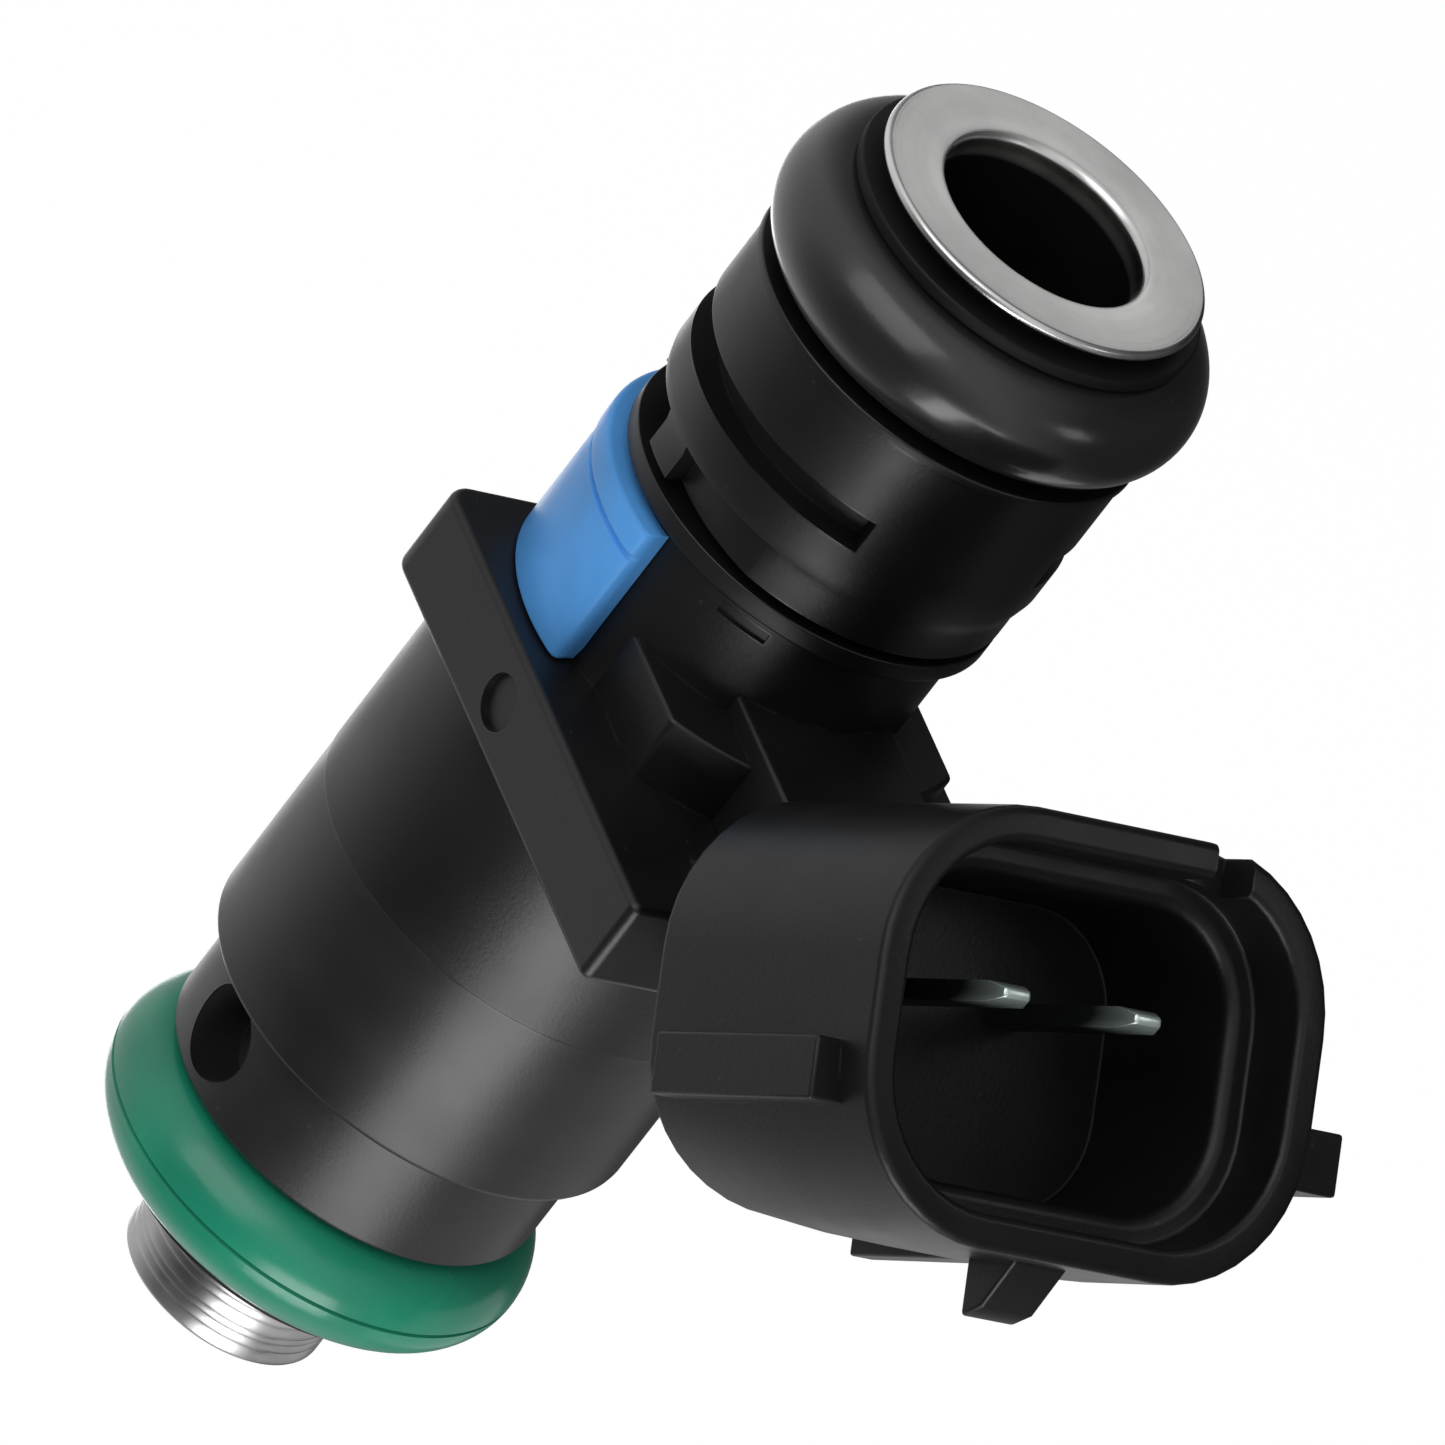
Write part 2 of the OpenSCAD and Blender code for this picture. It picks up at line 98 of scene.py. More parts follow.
class Stock:
    """A closed mesh in the making, in millimetres."""

    def __init__(self) -> None:
        """Starts empty."""
        self.bm = bmesh.new()

    @classmethod
    def lathe(cls, corners: list[Point], start: float = 0.0,
              sweep: float = 360.0, steps: int = STEPS) -> "Stock":
        """Turns a profile round the injector's axis.

        Args:
            corners: the profile as (radius, height, fillet) corners, in order.
            start: the angle in degrees where the turning starts.
            sweep: how far it turns, in degrees.
            steps: how many steps the sweep has.

        Returns:
            The turned stock, closed at its ends when the sweep is not a full turn.
        """
        made = cls()
        bm = made.bm
        verts = [bm.verts.new((r, 0, z)) for r, z, _ in corners]
        bm.faces.new(verts)
        for fillet in sorted({f for _, _, f in corners if f > 0}):
            chosen = [v for v, c in zip(verts, corners) if c[2] == fillet]
            bmesh.ops.bevel(bm, geom=chosen, offset=fillet, offset_type="OFFSET", segments=4,
                            profile=0.5, affect="VERTICES", clamp_overlap=True, material=-1)
        bmesh.ops.rotate(bm, verts=bm.verts[:], cent=(0, 0, 0),
                         matrix=Matrix.Rotation(math.radians(start), 3, "Z"))
        full = sweep >= 360
        if full:
            bmesh.ops.delete(bm, geom=bm.faces[:], context="FACES_ONLY")
            source = bm.verts[:] + bm.edges[:]
        else:
            source = bm.verts[:] + bm.edges[:] + bm.faces[:]
        bmesh.ops.spin(bm, geom=source, cent=(0, 0, 0), axis=Z_AXIS, dvec=(0, 0, 0),
                       angle=math.radians(sweep), steps=steps, use_merge=full,
                       use_duplicate=False)
        return made.clean()

    @classmethod
    def ring(cls, middle: float, height: float, half_r: float, half_z: float,
             seam: float = 0.0, seam_depth: float = 0.0, segments: int = 72) -> "Stock":
        """A sealing ring: an oval section turned round the axis.

        Args:
            middle: radius of the section's centre.
            height: height of the section's centre.
            half_r: half the section's size across the axis.
            half_z: half its size along the axis.
            seam: where the mould line runs, in degrees round the section from its outside.
            seam_depth: how deep the mould line is.
            segments: how many sides the section has.

        Returns:
            The ring.
        """
        made = cls()
        bm = made.bm
        bmesh.ops.create_circle(bm, cap_ends=False, segments=segments, radius=1.0)
        if seam_depth:
            at = towards(seam, 0)
            line = min(bm.verts, key=lambda v: (v.co - at).length)
            for edge in line.link_edges:
                lip = edge.other_vert(line)
                lip.co = line.co.lerp(lip.co, SEAM_SHARE)
            line.co *= 1 - seam_depth / half_r
        bmesh.ops.scale(bm, vec=(half_r, half_z, 1), verts=bm.verts[:])
        bmesh.ops.rotate(bm, verts=bm.verts[:], cent=(0, 0, 0),
                         matrix=Matrix.Rotation(math.pi / 2, 3, "X"))
        bmesh.ops.translate(bm, verts=bm.verts[:], vec=(middle, 0, height))
        bmesh.ops.spin(bm, geom=bm.verts[:] + bm.edges[:], cent=(0, 0, 0), axis=Z_AXIS,
                       dvec=(0, 0, 0), angle=math.tau, steps=STEPS, use_merge=True,
                       use_duplicate=False)
        return made.clean()

    @classmethod
    def prism(cls, corners: list[Point], height: float, segments: int = 10) -> "Stock":
        """Raises an outline in X and Y by a height from z 0.

        Args:
            corners: the outline as (x, y, corner radius), in order.
            height: how far it is raised.
            segments: how many segments a round corner has.

        Returns:
            The raised stock.
        """
        made = cls()
        bm = made.bm
        verts = [bm.verts.new((x, y, 0)) for x, y, _ in corners]
        bm.faces.new(verts)
        for radius in sorted({r for _, _, r in corners if r > 0}):
            chosen = [v for v, c in zip(verts, corners) if c[2] == radius]
            bmesh.ops.bevel(bm, geom=chosen, offset=radius, offset_type="OFFSET",
                            segments=segments, profile=0.5, affect="VERTICES",
                            clamp_overlap=False, material=-1)
        grown = bmesh.ops.extrude_face_region(bm, geom=bm.faces[:])
        bmesh.ops.translate(bm, vec=(0, 0, height), verts=only(grown["geom"], bmesh.types.BMVert))
        return made.clean()

    @classmethod
    def rounded_slab(cls, size_x: float, size_y: float, radius: float, height: float) -> "Stock":
        """A slab centred on the axis, its four upright corners rounded.

        Args:
            size_x: size along X.
            size_y: size along Y.
            radius: corner radius.
            height: height from z 0.

        Returns:
            The slab.
        """
        x, y = size_x / 2, size_y / 2
        return cls.prism([(-x, -y, radius), (x, -y, radius), (x, y, radius), (-x, y, radius)],
                         height)

    @classmethod
    def block(cls, low: Point, high: Point) -> "Stock":
        """A block between two corners.

        Args:
            low: its lowest corner.
            high: its highest corner.

        Returns:
            The block.
        """
        made = cls()
        bmesh.ops.create_cube(made.bm, size=1.0)
        bmesh.ops.scale(made.bm, vec=[b - a for a, b in zip(low, high)], verts=made.bm.verts[:])
        return made.move([(a + b) / 2 for a, b in zip(low, high)])

    @classmethod
    def rod(cls, radius: float, low: float, high: float, steps: int = 64) -> "Stock":
        """A round bar on the axis.

        Args:
            radius: its radius.
            low: height of its lower end.
            high: height of its upper end.
            steps: how many sides it has.

        Returns:
            The bar.
        """
        made = cls()
        bmesh.ops.create_cone(made.bm, cap_ends=True, cap_tris=False, segments=steps,
                              radius1=radius, radius2=radius, depth=high - low)
        return made.move((0, 0, (low + high) / 2))

    def clean(self) -> "Stock":
        """Merges doubles and turns every face outwards.

        Returns:
            This stock.
        """
        bmesh.ops.remove_doubles(self.bm, verts=self.bm.verts[:], dist=MERGE)
        bmesh.ops.recalc_face_normals(self.bm, faces=self.bm.faces[:])
        return self

    def move(self, by: Iterable[float]) -> "Stock":
        """Shifts the stock by a vector."""
        bmesh.ops.translate(self.bm, vec=Vector(by), verts=self.bm.verts[:])
        return self

    def lay(self) -> "Stock":
        """Lays the stock down by a quarter turn about X, so that its height runs along -Y.

        Returns:
            This stock.
        """
        bmesh.ops.rotate(self.bm, verts=self.bm.verts[:], cent=(0, 0, 0),
                         matrix=Matrix.Rotation(math.radians(90), 3, "X"))
        return self

    def place(self, matrix: Matrix) -> "Stock":
        """Carries the stock by a matrix."""
        bmesh.ops.transform(self.bm, matrix=matrix, verts=self.bm.verts[:])
        return self

    def add(self, other: "Stock") -> "Stock":
        """Adds another closed shell to this one and uses the other up.

        Args:
            other: the shell to add.

        Returns:
            This stock.
        """
        mesh = bpy.data.meshes.new("shell")
        other.bm.to_mesh(mesh)
        other.bm.free()
        self.bm.from_mesh(mesh)
        bpy.data.meshes.remove(mesh)
        return self

    def slice(self, point: Iterable[float], normal: Iterable[float]) -> "Stock":
        """Cuts away what lies beyond a plane and closes the cut.

        Args:
            point: a point of the plane.
            normal: the plane's normal, which points at what goes.

        Returns:
            This stock.
        """
        bm = self.bm
        cut = bmesh.ops.bisect_plane(bm, geom=bm.verts[:] + bm.edges[:] + bm.faces[:],
                                     dist=ON_PLANE, plane_co=Vector(point),
                                     plane_no=Vector(normal), clear_outer=True,
                                     clear_inner=False)
        edges = only(cut["geom_cut"], bmesh.types.BMEdge)
        bmesh.ops.contextual_create(bm, geom=edges)
        return self.clean()

    def combine(self, other: "Stock", joint: Joint) -> "Stock":
        """Unites with another stock, or cuts it away, and uses the other up.

        Args:
            other: the stock to join or to cut away.
            joint: which of the two.

        Returns:
            This stock.
        """
        bodies = []
        for stock in (self, other):
            mesh = bpy.data.meshes.new("work")
            stock.bm.to_mesh(mesh)
            stock.bm.free()
            body = bpy.data.objects.new("work", mesh)
            bpy.context.scene.collection.objects.link(body)
            bodies.append(body)
        tool = bodies[0].modifiers.new("tool", "BOOLEAN")
        tool.operation = joint.value
        tool.solver = "EXACT"
        tool.object = bodies[1]
        graph = bpy.context.evaluated_depsgraph_get()
        result = bpy.data.meshes.new_from_object(bodies[0].evaluated_get(graph))
        self.bm = bmesh.new()
        self.bm.from_mesh(result)
        for body in bodies:
            mesh = body.data
            bpy.data.objects.remove(body)
            bpy.data.meshes.remove(mesh)
        bpy.data.meshes.remove(result)
        self.clean()
        slivers = [e for e in self.bm.edges if e.is_boundary]
        if slivers:
            bmesh.ops.holes_fill(self.bm, edges=slivers, sides=4)
            bmesh.ops.recalc_face_normals(self.bm, faces=self.bm.faces[:])
        return self

    def cut(self, other: "Stock") -> "Stock":
        """Cuts another stock away from this one."""
        return self.combine(other, Joint.CUT)

    def unite(self, other: "Stock") -> "Stock":
        """Unites this stock with another."""
        return self.combine(other, Joint.UNITE)

    def soften(self, width: float, where: Callable[[Vector], bool] | None = None,
               segments: int = 3, sharper_than: float = 30.0) -> "Stock":
        """Rounds sharp edges.

        Args:
            width: how far the rounding reaches on each side of an edge.
            where: a test of an edge's middle, or None for every edge.
            segments: how many segments the rounding has.
            sharper_than: edges whose faces meet at less than this many degrees stay.

        Returns:
            This stock.
        """
        limit = math.radians(sharper_than)
        chosen = [
            e for e in self.bm.edges
            if e.is_manifold and e.calc_face_angle(0.0) > limit
            and (where is None or where((e.verts[0].co + e.verts[1].co) / 2))
        ]
        if chosen:
            bmesh.ops.bevel(self.bm, geom=chosen, offset=width, offset_type="OFFSET",
                            segments=segments, profile=0.5, affect="EDGES",
                            clamp_overlap=True, material=-1)
        return self

    def pocket(self, low: float, high: float, first: float, last: float,
               depth: Callable[[float], float], outside: float, slope: float = 0.0) -> "Stock":
        """Sinks the outer wall of a turned stock between two heights and two angles.

        Args:
            low: lower height.
            high: upper height.
            first: first angle in degrees, from -180.
            last: last angle in degrees.
            depth: the pocket's radius as a function of the angle in degrees.
            outside: only faces further out than this radius are sunk.
            slope: how far the upper wall leans down for each millimetre of depth.

        Returns:
            This stock.
        """
        chosen = []
        for face in self.bm.faces:
            middle = face.calc_center_median()
            angle = math.degrees(math.atan2(middle.y, middle.x)) % 360
            inside = first <= angle <= last
            if low - NEAR < middle.z < high and inside and middle.xy.length > outside:
                chosen.append(face)
        grown = bmesh.ops.extrude_face_region(self.bm, geom=chosen)
        bmesh.ops.delete(self.bm, geom=chosen, context="FACES")
        for vert in only(grown["geom"], bmesh.types.BMVert):
            angle = math.degrees(math.atan2(vert.co.y, vert.co.x)) % 360
            radius = min(vert.co.xy.length, depth(angle))
            if vert.co.z > high - NEAR:
                vert.co.z -= slope * (vert.co.xy.length - radius)
            vert.co.xy = vert.co.xy.normalized() * radius
        return self.clean()

    def open_edges(self) -> int:
        """Counts the edges that don't join exactly two faces."""
        return sum(1 for e in self.bm.edges if not e.is_manifold)


def towards(compass: float, rise: float) -> Vector:
    """Finds the direction at a compass angle and an elevation.

    Args:
        compass: degrees round Z from X.
        rise: degrees above level.

    Returns:
        The unit vector.
    """
    a, e = math.radians(compass), math.radians(rise)
    return Vector((math.cos(a) * math.cos(e), math.sin(a) * math.cos(e), math.sin(e)))


def only(geometry: Iterable, kind: type) -> list:
    """Picks the elements of one kind out of an operator's result."""
    return [g for g in geometry if isinstance(g, kind)]


# ---------------------------------------------------------------- finishes


EDGE_POLISH = 0.14          # how much smoother a rubbed edge is
BORE_ROUGHNESS = 0.3        # how much rougher a bore is
COAT_ROUGHNESS = 0.15
LIT_SHARE = 1.12            # colour of the painted shade on the terminals deep in the socket, as a share of the main colour
GROOVE_SHARE = 0.7          # the turned grooves' colour
SOCKET_SHADE_SHARE = 0.05           # the dull metal's colour
SMOOTH_SCALE = 3000.0       # scale of the grain on a finish that has none of its own
GLOSS_SCALE = 260.0         # scale of the slow unevenness in colour and gloss
BAND_SCALE = 900.0          # scale of the uneven bands on a turned surface
WEAR_SCALE = 900.0          # scale of the breaks in a rubbed edge
SPECK_SCALE = 1500.0        # scale of the specks
PATCH_SCALE = 420.0         # scale of the patches that the specks lie in
SPECK_COLOUR = (0.12, 0.12, 0.12)
SHADE_WALL_FADE = 0.1 * MM        # how softly a bore's painted shade ends at its wall
SHADE_MOUTH_FADE = 0.5 * MM       # how softly it ends at its mouth
SOCKET_SHADE_FADE = 1.6 * MM        # how softly the painted shade on the terminals begins


class Effect(Enum):
    """The shared surface effects, each a node group built once."""

    GRAIN = "moulded_grain"
    WEAR = "edge_wear"
    TURNED = "turned_lines"
    SPECKS = "handling_specks"


class Nodes:
    """Short ways to place and link shader nodes in one tree."""

    def __init__(self, tree: bpy.types.NodeTree) -> None:
        """Works on a node tree."""
        self.tree = tree

    def new(self, kind: str, inputs: dict | None = None, **settings: object) -> bpy.types.Node:
        """Adds a node.

        Args:
            kind: the node's type.
            inputs: values or sockets for its inputs, by name or index.
            **settings: the node's own properties.

        Returns:
            The node.
        """
        node = self.tree.nodes.new(kind)
        for name, value in settings.items():
            setattr(node, name, value)
        for key, value in (inputs or {}).items():
            if isinstance(value, bpy.types.NodeSocket):
                self.tree.links.new(value, node.inputs[key])
            else:
                node.inputs[key].default_value = value
        return node

    def math(self, operation: str, *values: Signal) -> bpy.types.NodeSocket:
        """Does arithmetic on sockets and numbers."""
        node = self.new("ShaderNodeMath", dict(enumerate(values)), operation=operation)
        return node.outputs[0]

    def mix(self, factor: Signal, first: Tint, second: Tint) -> bpy.types.NodeSocket:
        """Mixes two colours.

        Args:
            factor: 0 for the first colour and 1 for the second.
            first: a colour or its socket.
            second: a colour or its socket.

        Returns:
            The mixed colour's socket.
        """
        node = self.tree.nodes.new("ShaderNodeMix")
        node.data_type = "RGBA"
        for socket, value in zip((node.inputs[0], node.inputs[6], node.inputs[7]),
                                 (factor, first, second)):
            if isinstance(value, bpy.types.NodeSocket):
                self.tree.links.new(value, socket)
            elif isinstance(value, tuple):
                socket.default_value = (*value, 1)
            else:
                socket.default_value = value
        return node.outputs[2]

    def span(self, value: Signal, low: float, high: float, to_low: float,
             to_high: float) -> bpy.types.NodeSocket:
        """Maps a value from one range to another and clamps it."""
        node = self.new("ShaderNodeMapRange", {0: value, 1: low, 2: high, 3: to_low, 4: to_high})
        return node.outputs[0]

    def place(self) -> bpy.types.NodeSocket:
        """Finds the point on the piece, in the injector's frame."""
        return self.new("ShaderNodeTexCoord").outputs["Object"]

    def reach(self, point: bpy.types.NodeSocket) -> tuple[bpy.types.NodeSocket,
                                                          bpy.types.NodeSocket]:
        """Splits a point into its distance from the axis and its height.

        Args:
            point: the point's socket.

        Returns:
            The sockets of the distance and of the height.
        """
        parts = self.new("ShaderNodeSeparateXYZ", {0: point})
        across = self.new("ShaderNodeCombineXYZ",
                          {"X": parts.outputs["X"], "Y": parts.outputs["Y"]})
        radius = self.new("ShaderNodeVectorMath", {0: across.outputs[0]}, operation="LENGTH")
        return radius.outputs["Value"], parts.outputs["Z"]


def effect_group(effect: Effect) -> bpy.types.NodeTree:
    """Finds or builds the node group of a shared effect.

    Args:
        effect: which effect.

    Returns:
        The group, whose outputs are masks and heights only.
    """
    found = bpy.data.node_groups.get(effect.value)
    if found:
        return found
    group = bpy.data.node_groups.new(effect.value, "ShaderNodeTree")
    build = {
        Effect.GRAIN: build_grain,
        Effect.WEAR: build_wear,
        Effect.TURNED: build_turned,
        Effect.SPECKS: build_specks,
    }[effect]
    build(group)
    return group


def group_sockets(group: bpy.types.NodeTree, inputs: dict[str, float],
                  outputs: list[str]) -> tuple[Nodes, dict, bpy.types.Node]:
    """Gives a group its named sockets.

    Args:
        group: the group.
        inputs: each input's name and its value when nothing sets it.
        outputs: the outputs' names.

    Returns:
        The node helper, the inputs' sockets by name, and the output node.
    """
    for name, value in inputs.items():
        socket = group.interface.new_socket(name, in_out="INPUT", socket_type="NodeSocketFloat")
        socket.default_value = value
    for name in outputs:
        group.interface.new_socket(name, in_out="OUTPUT", socket_type="NodeSocketFloat")
    nodes = Nodes(group)
    entry = nodes.new("NodeGroupInput")
    leave = nodes.new("NodeGroupOutput")
    return nodes, {name: entry.outputs[name] for name in inputs}, leave


def build_grain(group: bpy.types.NodeTree) -> None:
    """Builds the fine pebbling left by a mould, and the slow unevenness of its gloss.

    Args:
        group: the empty group to fill.
    """
    nodes, given, leave = group_sockets(group, {"Scale": 7000.0}, ["Height", "Unevenness"])
    place = nodes.place()
    fine = nodes.new("ShaderNodeTexNoise",
                     {"Vector": place, "Scale": given["Scale"], "Detail": 3.0, "Roughness": 0.6})
    cells = nodes.new("ShaderNodeTexVoronoi", {"Vector": place, "Scale": given["Scale"]},
                      feature="SMOOTH_F1")
    slow = nodes.new("ShaderNodeTexNoise",
                     {"Vector": place, "Scale": GLOSS_SCALE, "Detail": 4.0})
    height = nodes.math("MULTIPLY_ADD", cells.outputs["Distance"], 0.6, fine.outputs["Fac"])
    group.links.new(height, leave.inputs["Height"])
    group.links.new(nodes.span(slow.outputs["Fac"], 0.3, 0.7, 0.0, 1.0), leave.inputs["Unevenness"])


def build_wear(group: bpy.types.NodeTree) -> None:
    """Builds a broken mask along edges that hands and tools have rubbed.

    Args:
        group: the empty group to fill.
    """
    nodes, given, leave = group_sockets(group, {"Radius": 0.00015, "Amount": 1.0}, ["Mask", "Edge"])
    soft = nodes.new("ShaderNodeBevel", {"Radius": given["Radius"]}, samples=6)
    flat = nodes.new("ShaderNodeNewGeometry").outputs["Normal"]
    same = nodes.new("ShaderNodeVectorMath", {0: soft.outputs[0], 1: flat},
                     operation="DOT_PRODUCT").outputs["Value"]
    edge = nodes.span(same, 0.995, 0.9, 0.0, 1.0)
    place = nodes.place()
    broken = nodes.new("ShaderNodeTexNoise",
                       {"Vector": place, "Scale": WEAR_SCALE, "Detail": 5.0})
    patches = nodes.span(broken.outputs["Fac"], 0.42, 0.62, 0.0, 1.0)
    worn = nodes.math("MULTIPLY", nodes.math("MULTIPLY", edge, patches), given["Amount"])
    group.links.new(worn, leave.inputs["Mask"])
    group.links.new(edge, leave.inputs["Edge"])


def build_turned(group: bpy.types.NodeTree) -> None:
    """Builds fine lines round the axis, left by turning, with uneven depth.

    Args:
        group: the empty group to fill.
    """
    nodes, given, leave = group_sockets(group, {"Lines": 9000.0}, ["Height", "Shade"])
    radius, height = nodes.reach(nodes.place())
    along = nodes.math("ADD", height, radius)
    lines = nodes.new("ShaderNodeTexNoise", {"W": along, "Scale": given["Lines"], "Detail": 2.0},
                      noise_dimensions="1D")
    wide = nodes.new("ShaderNodeTexNoise", {"W": along, "Scale": BAND_SCALE, "Detail": 2.0},
                     noise_dimensions="1D")
    group.links.new(lines.outputs["Fac"], leave.inputs["Height"])
    group.links.new(wide.outputs["Fac"], leave.inputs["Shade"])


def build_specks(group: bpy.types.NodeTree) -> None:
    """Builds scattered pale specks from handling.

    Args:
        group: the empty group to fill.
    """
    nodes, given, leave = group_sockets(group, {"Amount": 0.5}, ["Mask"])
    place = nodes.place()
    cells = nodes.new("ShaderNodeTexVoronoi", {"Vector": place, "Scale": SPECK_SCALE},
                      feature="F1")
    dots = nodes.span(cells.outputs["Distance"], 0.05, 0.11, 1.0, 0.0)
    where = nodes.new("ShaderNodeTexNoise",
                      {"Vector": place, "Scale": PATCH_SCALE, "Detail": 3.0})
    patch = nodes.span(where.outputs["Fac"], 0.56, 0.66, 0.0, 1.0)
    mask = nodes.math("MULTIPLY", nodes.math("MULTIPLY", dots, patch), given["Amount"])
    group.links.new(mask, leave.inputs["Mask"])


@dataclass(frozen=True)
class Finish:
    """A material slot's finish.

    Attributes:
        name: the record's material slot.
        colour: main colour, linear.
        worn_colour: colour of rubbed edges.
        roughness: mean roughness.
        spread: how much the roughness varies.
        metallic: 1 for bare metal.
        grain_scale: how fine the pebbling is, or 0 for none.
        grain_depth: depth of the pebbling in metres.
        lines: turned lines per metre, or 0 for none.
        line_depth: depth of the turned lines in metres.
        wear: how strongly edges are rubbed.
        specks: how many specks it carries.
        coat: weight of a clear coat.
        specular: the shader's specular level.
        sheen: weight of the sheen.
        mottle: how much darker the uneven patches are.
        bore_r: radius within which the surface is rougher and darkened with painted shade, or 0 for
            none.
        bore_shade_z: height below which the bore carries its painted shade.
        bore_shade_colour: colour of the painted shade in the bore.
        socket_shade_x: X below which the metal is darkened with painted shade, as deep in the
            socket, or 0 for none.
    """

    name: str
    colour: Rgb
    worn_colour: Rgb = (0.1, 0.1, 0.1)
    roughness: float = 0.45
    spread: float = 0.08
    metallic: float = 0.0
    grain_scale: float = 0.0
    grain_depth: float = 0.0
    lines: float = 0.0
    line_depth: float = 0.0
    wear: float = 0.0
    specks: float = 0.0
    coat: float = 0.0
    specular: float = 0.5
    sheen: float = 0.0
    mottle: float = 0.14
    bore_r: float = 0.0
    bore_shade_z: float = 0.0
    bore_shade_colour: Rgb = (0.02, 0.019, 0.018)
    socket_shade_x: float = 0.0

    def inside(self, nodes: Nodes) -> bpy.types.NodeSocket:
        """Masks the bore's painted shade: what lies inside the bore and below its mouth.

        Args:
            nodes: the material's node helper.

        Returns:
            The mask's socket.
        """
        radius, height = nodes.reach(nodes.place())
        within = nodes.span(radius, self.bore_r, self.bore_r + SHADE_WALL_FADE, 1.0, 0.0)
        below = nodes.span(height, self.bore_shade_z - SHADE_MOUTH_FADE, self.bore_shade_z, 1.0, 0.0)
        return nodes.math("MULTIPLY", within, below)

    def socket_shade_mask(self, nodes: Nodes) -> bpy.types.NodeSocket:
        """Masks the painted shade on the metal that lies deeper than socket_shade_x."""
        along = nodes.new("ShaderNodeSeparateXYZ", {0: nodes.place()}).outputs["X"]
        return nodes.span(along, self.socket_shade_x - SOCKET_SHADE_FADE, self.socket_shade_x, 1.0, 0.0)

    def toned(self, share: float) -> Rgb:
        """The main colour times a share, at most 1."""
        return tuple(min(1.0, share * c) for c in self.colour)

    def material(self) -> bpy.types.Material:
        """Finds or builds the finish's material.

        Returns:
            The material, named after the slot.
        """
        found = bpy.data.materials.get("finish_" + self.name)
        if found:
            return found
        made = bpy.data.materials.new("finish_" + self.name)
        made.use_nodes = True
        made.diffuse_color = (*self.colour, 1)
        tree = made.node_tree
        tree.nodes.clear()
        nodes = Nodes(tree)
        skin = nodes.new("ShaderNodeBsdfPrincipled", {
            "Metallic": self.metallic, "Specular IOR Level": self.specular,
            "Coat Weight": self.coat, "Coat Roughness": COAT_ROUGHNESS,
            "Sheen Weight": self.sheen,
        })
        exit_node = nodes.new("ShaderNodeOutputMaterial")
        tree.links.new(skin.outputs[0], exit_node.inputs[0])

        def placed(effect: Effect, **values: float) -> bpy.types.Node:
            """Places a shared effect with this finish's values.

            Args:
                effect: which effect.
                **values: what its inputs are set to, by name.

            Returns:
                The group's node.
            """
            node = nodes.new("ShaderNodeGroup", node_tree=effect_group(effect))
            for key, value in values.items():
                node.inputs[key].default_value = value
            return node

        grain = placed(Effect.GRAIN, Scale=self.grain_scale or SMOOTH_SCALE)
        uneven = grain.outputs["Unevenness"]
        colour = nodes.mix(uneven, self.toned(1 - self.mottle), self.toned(LIT_SHARE))
        rough = nodes.span(uneven, 0.0, 1.0, self.roughness - self.spread,
                           self.roughness + self.spread)
        normal = None
        if self.lines:
            turned = placed(Effect.TURNED, Lines=self.lines)
            shade = nodes.span(turned.outputs["Shade"], 0.3, 0.7, 0.0, 0.5)
            colour = nodes.mix(shade, colour, self.toned(GROOVE_SHARE))
            normal = nodes.new("ShaderNodeBump", {
                "Height": turned.outputs["Height"], "Distance": self.line_depth,
                "Strength": 1.0,
            }).outputs[0]
        if self.grain_depth:
            bump = nodes.new("ShaderNodeBump", {
                "Height": grain.outputs["Height"], "Distance": self.grain_depth, "Strength": 1.0,
            })
            if normal:
                tree.links.new(normal, bump.inputs["Normal"])
            normal = bump.outputs[0]
        if self.wear:
            worn = placed(Effect.WEAR, Amount=self.wear)
            colour = nodes.mix(worn.outputs["Mask"], colour, self.worn_colour)
            rough = nodes.math("MULTIPLY_ADD", worn.outputs["Edge"], -EDGE_POLISH, rough)
        # painted shade: inside the bore the colour is darkened towards the bore's shade colour, and
        # the roughness is raised
        if self.bore_r:
            deep = self.inside(nodes)
            colour = nodes.mix(deep, colour, self.bore_shade_colour)
            rough = nodes.math("MULTIPLY_ADD", deep, BORE_ROUGHNESS, rough)
        # painted shade: deeper in the socket the metal's colour is darkened
        if self.socket_shade_x:
            colour = nodes.mix(self.socket_shade_mask(nodes), colour, self.toned(SOCKET_SHADE_SHARE))
        if self.specks:
            dotted = placed(Effect.SPECKS, Amount=self.specks).outputs["Mask"]
            colour = nodes.mix(dotted, colour, SPECK_COLOUR)
        tree.links.new(colour, skin.inputs["Base Color"])
        tree.links.new(rough, skin.inputs["Roughness"])
        if normal:
            tree.links.new(normal, skin.inputs["Normal"])
        return made


BLACK_PLASTIC = Finish("black_plastic", (0.0045, 0.0045, 0.005), (0.04, 0.04, 0.042), 0.4, 0.05,
                       grain_scale=9000, grain_depth=0.000004, wear=0.3, specks=0.2)
BLACK_CONNECTOR = Finish("black_connector", (0.0062, 0.0062, 0.0065), (0.05, 0.05, 0.052), 0.38,
                         0.05, grain_scale=7000, grain_depth=0.000005, wear=0.5, specks=0.2,
                         specular=0.3)
